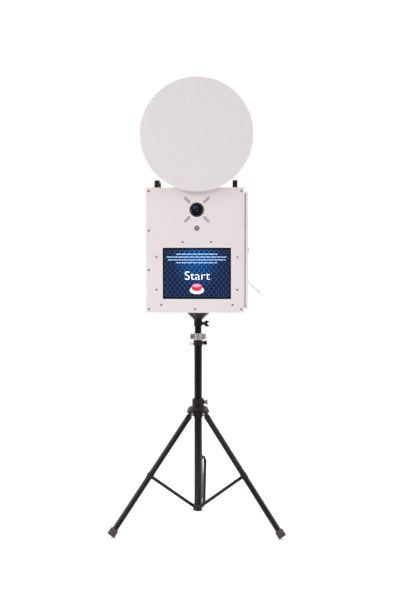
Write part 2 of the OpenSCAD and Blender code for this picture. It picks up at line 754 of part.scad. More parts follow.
module printer_shelf() color(silver) {
    block([cab_left + wall_t, printer_y - printer_w / 2, shelf_z],
          [cab_right - wall_t, inner_back - post_leg, shelf_z + shelf_t]);
    for (s = [-1, 1]) block([cab_x + s * (cab_w / 2 - wall_t - 30) - 1.5, printer_y - 110, inner_floor],
                            [cab_x + s * (cab_w / 2 - wall_t - 30) + 1.5, printer_y + 110, shelf_z]);
}

module mini_pc() color(soft_black)
    block([cab_x - pc_w / 2, printer_y - pc_d / 2, inner_floor],
          [cab_x + pc_w / 2, printer_y + pc_d / 2, inner_floor + pc_h]);

module power_inlet() color(black) difference() {
    union() {
        block([inlet_x - inlet_w / 2 - 5, cab_back, inlet_z - inlet_h / 2 - 5],
              [inlet_x + inlet_w / 2 + 5, cab_back + 2.5, inlet_z + inlet_h / 2 + 5]);
        block([inlet_x - inlet_w / 2 + 0.5, cab_back - 22, inlet_z - inlet_h / 2 + 0.5],
              [inlet_x + inlet_w / 2 - 0.5, cab_back + 1, inlet_z + inlet_h / 2 - 0.5]);
    }
    block([inlet_x - 13, cab_back - 16, inlet_z - 9], [inlet_x + 13, cab_back + 4, inlet_z + 9]);
}

// ---- flash ----

module flash_post() color(black) {
    block([-post_base / 2, tilt_y - 45, cab_top], [post_base / 2, tilt_y + 45, cab_top + post_base_t]);
    rod_z([0, tilt_y, cab_top + post_base_t], post_d, tilt_z - 30 - cab_top - post_base_t);
    block([-ear_t - lug_t / 2 - clear, tilt_y - 14, tilt_z - 31],
          [ear_t + lug_t / 2 + clear, tilt_y + 14, tilt_z - 18]);
    for (s = [-1, 1]) difference() {
        x = s * (lug_t / 2 + clear + ear_t / 2) - ear_t / 2;
        union() {
            block([x, tilt_y - 14, tilt_z - 20], [x + ear_t, tilt_y + 14, tilt_z]);
            rod_x([x, tilt_y, tilt_z], 28, ear_t);
        }
        rod_x([x - cut, tilt_y, tilt_z], tilt_pin_d + 2 * run, ear_t + 2 * cut);
    }
}

// The clamping lever beside the tilt joint
module tilt_lever() color(black) translate([lug_t / 2 + clear + ear_t + clear, tilt_y, tilt_z]) {
    rod_x([0, 0, 0], 20, 9);
    rotate([25, 0, 0]) block([2, -5, -52], [8, 5, 0]);
}

module flash_head() color(soft_black) {
    rod_y([0, dish_back + 8, dish_z], flash_d, flash_l - 8);
    rod_y([0, dish_back, dish_z], 2 * dish_neck_r, 8);
    block([-lug_t / 2, tilt_y - 13, tilt_z], [lug_t / 2, tilt_y + 13, dish_z - flash_d / 2 + 6]);
    rod_x([-lug_t / 2, tilt_y, tilt_z], 26, lug_t);
    pin_reach = lug_t / 2 + clear + ear_t;
    rod_x([-pin_reach, tilt_y, tilt_z], tilt_pin_d, 2 * pin_reach);
}

// Outer radius of the dish at a share t of its depth behind the lip
function dish_radius(t) = dish_neck_r + (dish_r - dish_neck_r) * pow(1 - t, 0.72);

module dish() color(white) translate([0, dish_y, dish_z]) rotate([-90, 0, 0]) rotate_extrude($fn = 96)
    polygon(concat(
        [[dish_r, 0]],
        [for (i = [0:dish_steps]) [dish_radius(i / dish_steps), lip_l + (dish_depth - lip_l) * i / dish_steps]],
        [for (i = [dish_steps:-1:0])
            [dish_radius(i / dish_steps) - 2 * dish_t, max(0, lip_l + (dish_depth - lip_l) * i / dish_steps
                - (i == dish_steps ? 0 : dish_t / 2))]],
        [[dish_r - 2 * dish_t, 0]]));

// A round elastic cover: a disc over the rim and a band down its side
module diffuser_sock() color("#e0dadc") translate([0, dish_y, dish_z]) rotate([-90, 0, 0])
    rotate_extrude($fn = 96) polygon([
        [0, -clear - sock_t], [dish_r + clear + sock_t, -clear - sock_t],
        [dish_r + clear + sock_t, lip_l - 2], [dish_r + clear, lip_l - 2], [dish_r + clear, -clear],
        [0, -clear]]);

main_tube();
foot_collar();
top_clamp();
clamp_bolt();
pin_collar();
mast_knob();
locking_pin();
inner_tube();
hub();
hub_clamp();
hub_knob();
leg_pins();
leg(leg_azimuths[0]);  // leg_left
leg(leg_azimuths[1]);  // leg_right
leg(leg_azimuths[2]);  // leg_rear
leg_bracket(leg_azimuths[0]);  // leg_bracket_left
leg_bracket(leg_azimuths[1]);  // leg_bracket_right
leg_bracket(leg_azimuths[2]);  // leg_bracket_rear
foot(leg_azimuths[0]);  // foot_left
foot(leg_azimuths[1]);  // foot_right
foot(leg_azimuths[2]);  // foot_rear
brace(leg_azimuths[0]);  // brace_left
brace(leg_azimuths[1]);  // brace_right
brace(leg_azimuths[2]);  // brace_rear
pole_mount();
pole_knob();
front_panel();
top_panel();
bottom_panel();
left_panel();
rear_panel();
door_frame();
corner_posts();
case_screws();
carry_handles();
door();
door_seal();
door_hinges();
hinge_leaves();
door_lock();
print_tray();
monitor();
screen();
monitor_frame();
camera_body();
lens();
lens_glass();
camera_shelf();
arrow_marks();
button_bezel();
push_button();
printer();
printer_shelf();
mini_pc();
power_inlet();
flash_post();
tilt_lever();
flash_head();
dish();
diffuser_sock();
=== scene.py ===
"""Photo booth on a folding speaker stand: the visible model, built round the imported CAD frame.

Every class below is a sub-assembly. It takes its places from the frame's boxes, holds its own
sizes in millimetres as dataclass fields, and has a build method that makes its pieces.
"""
import json
import logging
import math
from dataclasses import dataclass
from enum import Enum
from typing import Any, Iterable, Sequence

import bmesh
import bpy
from mathutils import Matrix, Vector, noise

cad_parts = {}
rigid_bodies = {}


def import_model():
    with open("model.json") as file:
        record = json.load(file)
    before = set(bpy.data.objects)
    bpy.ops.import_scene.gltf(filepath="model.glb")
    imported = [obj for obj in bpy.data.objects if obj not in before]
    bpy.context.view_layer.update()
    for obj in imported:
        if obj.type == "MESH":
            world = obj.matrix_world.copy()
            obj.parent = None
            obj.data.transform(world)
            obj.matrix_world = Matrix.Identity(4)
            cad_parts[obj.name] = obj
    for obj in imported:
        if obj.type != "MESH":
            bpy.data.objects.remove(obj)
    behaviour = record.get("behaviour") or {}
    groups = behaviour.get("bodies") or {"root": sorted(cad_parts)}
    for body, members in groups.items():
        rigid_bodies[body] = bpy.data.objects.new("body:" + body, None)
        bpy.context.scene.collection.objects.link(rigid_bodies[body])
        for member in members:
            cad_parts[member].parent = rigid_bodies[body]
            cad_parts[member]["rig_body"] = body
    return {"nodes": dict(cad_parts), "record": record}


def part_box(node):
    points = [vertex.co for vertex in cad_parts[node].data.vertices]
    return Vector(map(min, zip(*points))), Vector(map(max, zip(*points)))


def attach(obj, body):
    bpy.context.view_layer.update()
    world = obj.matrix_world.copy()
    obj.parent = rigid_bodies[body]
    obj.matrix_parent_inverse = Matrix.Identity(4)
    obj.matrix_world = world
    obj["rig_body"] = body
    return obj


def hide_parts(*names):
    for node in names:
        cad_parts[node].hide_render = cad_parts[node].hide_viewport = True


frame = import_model()

MM = 0.001
FULL_TURN = 2 * math.pi
SMOOTH_LIMIT = math.radians(32)
log = logging.getLogger("booth")
Point = Sequence[float]
Outline = list[tuple[float, float]]


class Axis(Enum):
    """The direction in which a turned or pushed shape's own Z points."""

    X = ((0, 0, 1), (1, 0, 0), (0, 1, 0))
    Y = ((0, 1, 0), (0, 0, 1), (1, 0, 0))
    Z = ((1, 0, 0), (0, 1, 0), (0, 0, 1))
    BACK_Y = ((1, 0, 0), (0, 0, -1), (0, 1, 0))

    def at(self, *origin: float) -> Matrix:
        """The placement of a shape whose own origin lies at this point, in millimetres."""
        return Matrix.Translation(origin) @ Matrix(self.value).to_4x4()


@dataclass(frozen=True)
class Span:
    """The box of a CAD node at rest, in millimetres."""

    low: Vector
    high: Vector

    @property
    def centre(self) -> Vector:
        """The middle of the box."""
        return (self.low + self.high) / 2

    @property
    def size(self) -> Vector:
        """The three sides of the box."""
        return self.high - self.low


def span_of(node: str) -> Span:
    """Reads a CAD node's box.

    Args:
        node: The node's name.

    Returns:
        Its lowest and highest corner, in millimetres.
    """
    low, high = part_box(node)
    return Span(low / MM, high / MM)


# ---- node helpers ----


def add_node(tree: Any, kind: str, sockets: dict | None = None, **settings: Any) -> Any:
    """Adds one node to a shader or geometry tree.

    Args:
        tree: The node tree.
        kind: The node's type name.
        sockets: Input names or numbers, each with a value or with the socket to link from.
        **settings: Properties of the node itself.

    Returns:
        The new node.
    """
    made = tree.nodes.new(kind)
    for key, value in settings.items():
        setattr(made, key, value)
    for key, value in (sockets or {}).items():
        if isinstance(value, bpy.types.NodeSocket):
            tree.links.new(value, made.inputs[key])
        else:
            made.inputs[key].default_value = value
    return made


def linear(code: str) -> tuple[float, float, float, float]:
    """Turns an sRGB hex code to the linear colour that a shader takes.

    Args:
        code: Six hex digits after a hash sign.

    Returns:
        Red, green, blue and an alpha of one.
    """
    parts = [int(code[i : i + 2], 16) / 255 for i in (1, 3, 5)]
    red, green, blue = (c / 12.92 if c <= 0.04045 else ((c + 0.055) / 1.055) ** 2.4 for c in parts)
    return (red, green, blue, 1.0)


def per_mm(size: float) -> float:
    """The texture scale at which one cell of a pattern measures this many millimetres."""
    return 1 / (size * MM)


# ---- finishes ----


@dataclass(frozen=True)
class Finish:
    """A painted, moulded, cast or plated surface with a grain and a faint drift of colour."""

    name: str
    color: str
    roughness: float
    drift: str = ""  # a second colour that the first drifts to
    drift_mm: float = 90.0
    metallic: float = 0.0
    ior: float = 1.5
    coat: float = 0.0
    coat_roughness: float = 0.1
    specular: float = 0.5
    grain_mm: float = 0.0
    grain_depth_mm: float = 0.0
    stretch: tuple[float, float, float] = (1.0, 1.0, 1.0)  # of the grain, for brushed metal

    def start(self) -> tuple[bpy.types.Material, Any, Any]:
        """Makes the material with its shader and its object coordinates.

        Returns:
            The material, its shader node and the coordinate socket.
        """
        material = bpy.data.materials.new(self.name)
        material.use_nodes = True
        tree = material.node_tree
        shader = tree.nodes["Principled BSDF"]
        shader.inputs["Base Color"].default_value = linear(self.color)
        shader.inputs["Roughness"].default_value = self.roughness
        shader.inputs["Metallic"].default_value = self.metallic
        shader.inputs["Specular IOR Level"].default_value = self.specular
        shader.inputs["Coat Weight"].default_value = self.coat
        shader.inputs["Coat Roughness"].default_value = self.coat_roughness
        if not self.metallic:
            shader.inputs["IOR"].default_value = self.ior
        material.diffuse_color = linear(self.color)
        place = add_node(tree, "ShaderNodeTexCoord").outputs["Object"]
        return material, shader, place

    def add_drift(self, tree: Any, shader: Any, place: Any) -> None:
        """Lets the colour and the roughness drift slowly over the surface."""
        cloud = add_node(tree, "ShaderNodeTexNoise", {
            "Vector": place, "Scale": per_mm(self.drift_mm), "Detail": 3.0, "Roughness": 0.6})
        mix = add_node(tree, "ShaderNodeMix", {
            0: cloud.outputs["Fac"], 6: linear(self.color), 7: linear(self.drift)}, data_type="RGBA")
        tree.links.new(mix.outputs[2], shader.inputs["Base Color"])
        worn = add_node(tree, "ShaderNodeMapRange", {
            "Value": cloud.outputs["Fac"], "From Min": 0.3, "From Max": 0.7,
            "To Min": self.roughness * 0.88, "To Max": min(1.0, self.roughness * 1.12)})
        tree.links.new(worn.outputs["Result"], shader.inputs["Roughness"])

    def add_grain(self, tree: Any, shader: Any, place: Any) -> None:
        """Raises the fine grain of the surface."""
        if self.stretch != (1.0, 1.0, 1.0):
            place = add_node(tree, "ShaderNodeMapping", {
                "Vector": place, "Scale": self.stretch}).outputs["Vector"]
        grain = add_node(tree, "ShaderNodeTexNoise", {
            "Vector": place, "Scale": per_mm(self.grain_mm), "Detail": 2.0})
        bump = add_node(tree, "ShaderNodeBump", {
            "Height": grain.outputs["Fac"], "Distance": self.grain_depth_mm * MM, "Strength": 1.0})
        tree.links.new(bump.outputs["Normal"], shader.inputs["Normal"])

    def dress(self, tree: Any, shader: Any, place: Any) -> None:
        """Adds to the plain shader what this finish has: here its drift and its grain."""
        if self.drift:
            self.add_drift(tree, shader, place)
        if self.grain_mm:
            self.add_grain(tree, shader, place)

    def material(self) -> bpy.types.Material:
        """The finished material, made once and then shared."""
        found = bpy.data.materials.get(self.name)
        if found:
            return found
        material, shader, place = self.start()
        self.dress(material.node_tree, shader, place)
        return material


@dataclass(frozen=True)
class ClearFinish(Finish):
    """A clear plastic or glass that light passes through."""

    transmission: float = 1.0
    alpha: float = 1.0

    def dress(self, tree: Any, shader: Any, place: Any) -> None:
        """Lets light through."""
        shader.inputs["Transmission Weight"].default_value = self.transmission
        shader.inputs["Alpha"].default_value = self.alpha


@dataclass(frozen=True)
class CoatedGlass(Finish):
    """A front lens element: black inside, with a thin film that tints what it reflects."""

    film_nm: float = 420.0
    film_ior: float = 1.38

    def dress(self, tree: Any, shader: Any, place: Any) -> None:
        """Lays the thin film on the glass."""
        shader.inputs["Thin Film Thickness"].default_value = self.film_nm
        shader.inputs["Thin Film IOR"].default_value = self.film_ior


@dataclass(frozen=True)
class Lit(Finish):
    """Something that shines by itself, such as a picture element or a lamp, or a painted glint that glows
    in place of a reflection.
    """

    glow: float = 1.0

    def dress(self, tree: Any, shader: Any, place: Any) -> None:
        """Makes the surface shine in its own colour."""
        shader.inputs["Emission Color"].default_value = linear(self.color)
        shader.inputs["Emission Strength"].default_value = self.glow


@dataclass(frozen=True)
class Woven(Finish):
    """Thin elastic cloth: a plain weave, a soft sheen and some light through it."""

    thread_mm: float = 1.6  # drawn coarser than the real 0.3 mm, so that the weave shows
    sheen: float = 0.25

    def dress(self, tree: Any, shader: Any, place: Any) -> None:
        """Adds the drift, the sheen and the weave."""
        self.add_drift(tree, shader, place)
        shader.inputs["Sheen Weight"].default_value = self.sheen
        threads = [
            add_node(tree, "ShaderNodeTexWave", {
                "Vector": place, "Scale": per_mm(self.thread_mm) / 20, "Distortion": 0.4},
                wave_type="BANDS", bands_direction=way).outputs["Fac"]
            for way in ("X", "Z")
        ]
        weave = add_node(tree, "ShaderNodeMath", {0: threads[0], 1: threads[1]}, operation="ADD")
        bump = add_node(tree, "ShaderNodeBump", {
            "Height": weave.outputs[0], "Distance": 0.05 * MM, "Strength": 0.6})
        tree.links.new(bump.outputs["Normal"], shader.inputs["Normal"])


@dataclass(frozen=True)
class DamaskPicture(Finish):
    """The start picture on the screen: a blue wallpaper of mirrored scrolls, lit from above."""

    bright: str = "#2a8bf2"
    edge: str = "#31528c"
    ink: str = "#4e3c40"
    repeat_x_mm: float = 12.0
    repeat_z_mm: float = 15.0
    scroll_mm: float = 9.5
    lamp_up_mm: float = 52.0  # the brightest place, above the middle
    fall_from_mm: float = 15.0  # where its light starts to fall
    fall_to_mm: float = 135.0
    glow: float = 0.95

    def dress(self, tree: Any, shader: Any, place: Any) -> None:
        """Draws the wallpaper and the light on it."""
        middle = span_of("screen").centre * MM
        centred = add_node(tree, "ShaderNodeMapping", {
            "Vector": place, "Location": (-middle.x, 0.0, -middle.z)})
        parts = add_node(tree, "ShaderNodeSeparateXYZ", {"Vector": centred.outputs["Vector"]})
        folds = [
            add_node(tree, "ShaderNodeMath", {0: parts.outputs[way], 1: size * MM},
                     operation="PINGPONG").outputs[0]
            for way, size in (("X", self.repeat_x_mm), ("Z", self.repeat_z_mm))
        ]
        near = add_node(tree, "ShaderNodeCombineXYZ", {"X": folds[0], "Y": folds[1], "Z": 0.31})
        half = (self.repeat_x_mm * MM, self.repeat_z_mm * MM, 0.62)
        far = add_node(tree, "ShaderNodeVectorMath", {
            0: half, 1: near.outputs[0]}, operation="SUBTRACT")
        scrolls = [
            add_node(tree, "ShaderNodeTexNoise", {
                "Vector": tile, "Scale": per_mm(self.scroll_mm), "Detail": 0.6,
                "Distortion": 0.9}).outputs["Fac"]
            for tile in (near.outputs[0], far.outputs[0])
        ]
        both = add_node(tree, "ShaderNodeMath", {0: scrolls[0], 1: scrolls[1]}, operation="MAXIMUM")
        ink = add_node(tree, "ShaderNodeMapRange", {
            "Value": both.outputs[0], "From Min": 0.475, "From Max": 0.51, "To Max": 0.95})
        lamp = add_node(tree, "ShaderNodeVectorMath", {
            0: centred.outputs["Vector"], 1: (1.0, 0.0, 0.75)}, operation="MULTIPLY")
        offset = add_node(tree, "ShaderNodeVectorMath", {
            0: lamp.outputs[0], 1: (0.0, 0.0, self.lamp_up_mm * MM)}, operation="SUBTRACT")
        flat = add_node(tree, "ShaderNodeVectorMath", {
            0: offset.outputs[0], 1: (1.0, 0.0, 1.0)}, operation="MULTIPLY")
        away = add_node(tree, "ShaderNodeVectorMath", {0: flat.outputs[0]}, operation="LENGTH")
        fall = add_node(tree, "ShaderNodeMapRange", {
            "Value": away.outputs["Value"], "From Min": self.fall_from_mm * MM,
            "From Max": self.fall_to_mm * MM},
            interpolation_type="SMOOTHSTEP")
        wall = add_node(tree, "ShaderNodeMix", {
            0: fall.outputs["Result"], 6: linear(self.bright), 7: linear(self.edge)}, data_type="RGBA")
        paper = add_node(tree, "ShaderNodeMix", {
            0: ink.outputs["Result"], 6: wall.outputs[2], 7: linear(self.ink)},
            data_type="RGBA", blend_type="MULTIPLY")
        tree.links.new(paper.outputs[2], shader.inputs["Emission Color"])
        shader.inputs["Emission Strength"].default_value = self.glow


# Powder coat on sheet metal: even and warm white, with the faint orange peel of baked powder
PANEL_WHITE = Finish("white_powder_coat", "#e9e0e1", 0.42, "#e6dcdd", 160, grain_mm=2.6,
                     grain_depth_mm=0.05)
# The same powder on the door and its bevel, drawn a shade lighter than the panels: painted light on that
# side of the case
DOOR_WHITE_PAINTED_LIGHT = Finish("white_powder_coat_door_painted_light", "#f3eced", 0.38, "#efe7e8", 140, grain_mm=2.4,
                    grain_depth_mm=0.05)
# Black powder coat on drawn steel tube: nearly black, glossy, with soft streaks of light
TUBE_BLACK = Finish("satin_black_powder", "#0b0504", 0.26, "#100806", 60, coat=0.05,
                    coat_roughness=0.14, specular=0.26, grain_mm=1.6, grain_depth_mm=0.012)
# Black enamel on a die casting: a little rougher and browner than the tube
CAST_BLACK = Finish("black_enamel_casting", "#150e0d", 0.36, "#1f1615", 25, specular=0.3, grain_mm=2.2,
                    grain_depth_mm=0.05)
# Glass-filled nylon, moulded: dull black with a spark-eroded grain
NYLON_BLACK = Finish("black_nylon_moulding", "#0e0909", 0.42, "#151010", 30, specular=0.25, grain_mm=0.9,
                     grain_depth_mm=0.04)
# Moulded ABS cases inside the cabinet: dark grey with a fine texture
ABS_GREY = Finish("dark_grey_abs", "#2b2b2e", 0.5, "#333337", 70, grain_mm=0.8, grain_depth_mm=0.03)
ABS_BLACK = Finish("black_abs", "#121214", 0.42, "#19191b", 60, grain_mm=0.8, grain_depth_mm=0.03)
# Die-cast zinc, tumbled and left bare: soft silver with a skin like fine leather
CAST_SILVER = Finish("tumbled_zinc_casting", "#c3b9be", 0.4, "#aaa0a6", 18, metallic=0.85,
                     grain_mm=1.8, grain_depth_mm=0.08)
# Galvanised sheet: silver with a faint spangle
ZINC_SHEET = Finish("galvanised_sheet", "#a9abae", 0.38, "#8f9296", 14, metallic=0.9,
                    grain_mm=4.0, grain_depth_mm=0.01)
# Turned steel, zinc plated: bright, with rings from the lathe
TURNED_STEEL = Finish("turned_plated_steel", "#b6b2af", 0.24, "#9c9894", 12, metallic=1.0,
                      grain_mm=1.0, grain_depth_mm=0.006)
# Screw heads, plated a warm bronze that has dulled
BRONZE_PLATE = Finish("dulled_bronze_plate", "#94807a", 0.42, "#7b6861", 4, metallic=0.6,
                      grain_mm=0.8, grain_depth_mm=0.02)
# The round button, brushed across: grey steel with fine level scratches
BRUSHED_STEEL = Finish("brushed_steel", "#a39a98", 0.36, "#8f8684", 8, metallic=0.75,
                       grain_mm=0.5, grain_depth_mm=0.02, stretch=(0.06, 1.0, 1.0))
# Moulded rubber of the feet and the seal: dark grey and dull
RUBBER = Finish("moulded_rubber", "#3a3133", 0.78, "#463c3e", 12, grain_mm=1.1, grain_depth_mm=0.06)
# Sponge strip round the door: pale grey, with open cells
SPONGE = Finish("pale_sponge_seal", "#e2d6d3", 0.9, "#d9ccc9", 9, grain_mm=0.9, grain_depth_mm=0.12)
# Screen-printed ink: taupe and flat
TAUPE_INK = Finish("taupe_screen_ink", "#b3a6a4", 0.7, "#aa9d9b", 20, grain_mm=1.0,
                   grain_depth_mm=0.01)
# White enamel, sprayed on spun aluminium
DISH_WHITE = Finish("white_enamel_spinning", "#e4dfe0", 0.4, "#dcd6d8", 120, coat=0.2,
                    grain_mm=3.0, grain_depth_mm=0.04)
# The screen's cover glass, black where it is printed behind
GLASS_BLACK = Finish("black_backed_glass", "#030303", 0.1, ior=1.52, specular=0.3)
PICTURE = DamaskPicture("lit_start_picture", "#020203", 0.16, specular=0.25)
PICTURE_WHITE = Lit("lit_picture_white", "#f4f7ff", 0.3, glow=1.0)
PICTURE_PALE = Lit("lit_picture_pale_blue", "#a9cdf6", 0.3, glow=0.85)
PICTURE_RED = Lit("lit_picture_red", "#e23346", 0.3, glow=0.9)
PICTURE_PINK = Lit("lit_picture_pink", "#ef8aa6", 0.3, glow=0.95)
READY_LAMP = Lit("green_ready_lamp", "#59d66b", 0.3, glow=1.2)
# Anodised lens barrel: satin black aluminium
BARREL_BLACK = Finish("black_anodised_barrel", "#0b0a0b", 0.34, "#121011", 20, coat=0.2)
LENS_COATED = CoatedGlass("coated_lens_glass", "#030308", 0.14, ior=1.45, specular=0.2)
# A small amber spot that glows on the lens glass: a painted glint, not a lamp
AMBER_GLINT_PAINTED = Lit("painted_amber_glint", "#b8693c", 0.2, glow=0.6)
# Cast acrylic sheet, flame bent: clear, with bright edges
ACRYLIC = ClearFinish("clear_acrylic_sheet", "#fbfbfc", 0.03, ior=1.49, alpha=0.35)
# The cut front edge of that sheet, drawn opaque and pale: painted light in place of the light that the
# clear sheet carries to its edge, which shows as a pale line
ACRYLIC_EDGE_PAINTED_LIGHT = Finish("acrylic_edge_painted_light", "#d6c9cc", 0.5, "#cfc2c5", 15, ior=1.49)
# Stretch nylon of the cover: matt white cloth that a strobe shines through
SOCK_CLOTH = Woven("white_stretch_nylon", "#e6dfe2", 0.82, "#e2dbde", 110)


# ---- pieces ----


def slot_of(node: str) -> str:
    """The record's material slot of a CAD node."""
    rows = {row["node"]: row["material_slot"] for row in frame["record"]["subparts"]}
    return rows[node]


def settle(piece: bpy.types.Object, finish: Finish, body: str, slot: str = "",
           stands_for: Iterable[str] = ()) -> bpy.types.Object:
    """Gives a piece its finish, its body and the CAD nodes that it stands for.

    Args:
        piece: The finished mesh object, at the origin.
        finish: Its surface; a piece that has materials already keeps them.
        body: The CAD body that it moves with.
        slot: The record's material slot, if one fits; its value is not used.
        stands_for: CAD nodes that it replaces.

    Returns:
        The same object.
    """
    if not piece.data.materials:
        piece.data.materials.append(finish.material())
    nodes = tuple(stands_for)
    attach(piece, body)
    if nodes:
        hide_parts(*nodes)
        slot = slot or slot_of(nodes[0])
    log.info("%s rides on %s, %d faces", piece.name, body, len(piece.data.polygons))
    return piece


def body_of(node: str) -> str:
    """The CAD body that a node belongs to."""
    return frame["nodes"][node]["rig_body"]


class Shape:
    """A mesh in millimetres, made of closed forms that are added one after another."""

    def __init__(self) -> None:
        self.mesh = bmesh.new()

    def loft(self, rings: list[list[Point]], closed: bool = False,
             place: Matrix = Matrix.Identity(4)) -> "Shape":
        """Joins rings of equal count with faces.

        Args:
            rings: The rings of points, each one a closed loop.
            closed: Whether the last ring joins the first; otherwise both ends are capped.
            place: Where the form goes.

        Returns:
            The shape itself.
        """
        rows = [[self.mesh.verts.new(place @ Vector(p)) for p in ring] for ring in rings]
        joins = list(zip(rows, rows[1:]))
        if closed:
            joins.append((rows[-1], rows[0]))
        for near, far in joins:
            for i in range(len(near)):
                j = (i + 1) % len(near)
                self.mesh.faces.new((near[i], near[j], far[j], far[i]))
        if not closed:
            self.mesh.faces.new(rows[0][::-1])
            self.mesh.faces.new(rows[-1])
        return self

    def turned(self, profile: Outline, place: Matrix, steps: int = 72) -> "Shape":
        """Turns a closed outline of (radius, height) pairs round the placement's Z."""
        turns = [FULL_TURN * i / steps for i in range(steps)]
        rings = [[(r * math.cos(a), r * math.sin(a), h) for r, h in profile] for a in turns]
        return self.loft(rings, closed=True, place=place)

    def prism(self, outline: Outline, low: float, high: float,
              place: Matrix = Matrix.Identity(4)) -> "Shape":
        """Pushes an outline from one height to another along the placement's Z."""
        return self.loft([[(x, y, z) for x, y in outline] for z in (low, high)], place=place)

    def block(self, low: Point, high: Point) -> "Shape":
        """Adds a plain block, as one form of several."""
        outline = [(low[0], low[1]), (high[0], low[1]), (high[0], high[1]), (low[0], high[1])]
        return self.prism(outline, low[2], high[2])

    def object(self, name: str, bevel: float = 0.0, segments: int = 2) -> bpy.types.Object:
        """Turns the shape into a Blender object with outward faces and smooth rounds.

        Args:
            name: The object's name.
            bevel: Radius of its edges, in millimetres.
            segments: Steps in each rounded edge.

        Returns:
            The object, at the origin.
        """
        bmesh.ops.remove_doubles(self.mesh, verts=self.mesh.verts, dist=0.002)
        bmesh.ops.recalc_face_normals(self.mesh, faces=self.mesh.faces)
        bmesh.ops.scale(self.mesh, vec=(MM, MM, MM), verts=self.mesh.verts)
        return mesh_object(self.mesh, name, bevel, segments)


def mesh_object(source: bmesh.types.BMesh, name: str, bevel: float, segments: int) -> bpy.types.Object:
    """Makes an object of a mesh in metres, with smooth rounds and, if asked, rounded edges.

    Args:
        source: The mesh, which is used up.
        name: The object's name.
        bevel: Radius of its edges, in millimetres.
        segments: Steps in each rounded edge.

    Returns:
        The object, linked to the scene.
    """
    for face in source.faces:
        face.smooth = True
    if not bevel:
        for edge in source.edges:
            edge.smooth = edge.calc_face_angle(0.0) < SMOOTH_LIMIT
    data = bpy.data.meshes.new(name)
    source.to_mesh(data)
    source.free()
    made = bpy.data.objects.new(name, data)
    bpy.context.scene.collection.objects.link(made)
    if bevel:
        rounding = made.modifiers.new("rounded_edges", "BEVEL")
        rounding.width = bevel * MM
        rounding.segments = segments
        rounding.limit_method = "ANGLE"
        rounding.angle_limit = SMOOTH_LIMIT
        even = made.modifiers.new("even_shading", "WEIGHTED_NORMAL")
        even.keep_sharp = True
    return made


def refine(node: str, finish: Finish, bevel: float = 0.6, segments: int = 2) -> bpy.types.Object:
    """Stands a copy of a CAD node in its place, merged, with rounded edges and its finish.

    Args:
        node: The CAD node.
        finish: Its surface.
        bevel: Radius of its edges, in millimetres.
        segments: Steps in each rounded edge.

    Returns:
        The new piece.
    """
    copy = bmesh.new()
    copy.from_mesh(frame["nodes"][node].data)
    bmesh.ops.remove_doubles(copy, verts=copy.verts, dist=2e-6)
    bmesh.ops.dissolve_limit(copy, angle_limit=math.radians(0.4), verts=copy.verts, edges=copy.edges)
    piece = mesh_object(copy, f"{node}.skin", bevel, segments)
    return settle(piece, finish, body_of(node), stands_for=[node])


def rounded(width: float, height: float, radius: float, steps: int = 5) -> Outline:
    """A rectangle with round corners, centred on its own origin.

    Args:
        width: Its size across.
        height: Its size up.
        radius: Radius of the corners.
        steps: Points on each corner, less one.

    Returns:
        The outline's points.
    """
    points = []
    for corner, (sx, sy) in enumerate(((1, 1), (-1, 1), (-1, -1), (1, -1))):
        for i in range(steps + 1):
            a = math.pi / 2 * (corner + i / steps)
            points.append((sx * (width / 2 - radius) + radius * math.cos(a),
                           sy * (height / 2 - radius) + radius * math.sin(a)))
    return points


def oval(across: float, up: float, steps: int, middle: Point = (0.0, 0.0)) -> Outline:
    """The points of an oval, from its two radii and its middle."""
    turns = (FULL_TURN * i / steps for i in range(steps))
    return [(middle[0] + across * math.cos(a), middle[1] + up * math.sin(a)) for a in turns]


# ---- repeated shapes ----


class Tree:
    """A Geometry Nodes tree with named inputs."""

    def __init__(self, name: str) -> None:
        self.group = bpy.data.node_groups.new(name, "GeometryNodeTree")
        self.names: dict[str, str] = {}
        face = self.group.interface
        face.new_socket("Geometry", in_out="INPUT", socket_type="NodeSocketGeometry")
        face.new_socket("Geometry", in_out="OUTPUT", socket_type="NodeSocketGeometry")

    def take(self, **kinds: str) -> Any:
        """Adds named inputs, each of a kind such as Float, Int, Vector, Object or Material.

        Returns:
            The node that gives them out.
        """
        for name, kind in kinds.items():
            item = self.group.interface.new_socket(
                name, in_out="INPUT", socket_type=f"NodeSocket{kind}")
            self.names[name] = item.identifier
        return add_node(self.group, "NodeGroupInput")

    def add(self, kind: str, sockets: dict | None = None, **settings: Any) -> Any:
        """Adds a geometry or function node."""
        return add_node(self.group, kind, sockets, **settings)

    def end(self, geometry: Any, material: Any) -> None:
        """Makes real copies, sets their material and closes the tree."""
        real = self.add("GeometryNodeRealizeInstances", {"Geometry": geometry})
        painted = self.add("GeometryNodeSetMaterial", {"Geometry": real.outputs[0], "Material": material})
        self.add("NodeGroupOutput", {"Geometry": painted.outputs[0]})

    def grow(self, name: str, base: bpy.types.Mesh | None = None, **values: Any) -> bpy.types.Object:
        """Runs the tree and keeps its result as a plain mesh.

        Args:
            name: The new object's name.
            base: The mesh that the tree starts from.
            **values: The inputs, by name.

        Returns:
            The object, at the origin, with no modifier left.
        """
        made = bpy.data.objects.new(name, base or bpy.data.meshes.new(name))
        bpy.context.scene.collection.objects.link(made)
        modifier = made.modifiers.new("grow", "NODES")
        modifier.node_group = self.group
        for key, value in values.items():
            modifier[self.names[key]] = value
        graph = bpy.context.evaluated_depsgraph_get()
        plain = bpy.data.meshes.new_from_object(made.evaluated_get(graph), depsgraph=graph)
        made.modifiers.remove(modifier)
        made.data = plain
        return made


def template(shape: Shape, name: str) -> bpy.types.Object:
    """An unseen object that a tree copies; it is never linked to the scene."""
    made = shape.object(name)
    bpy.context.scene.collection.objects.unlink(made)
    return made


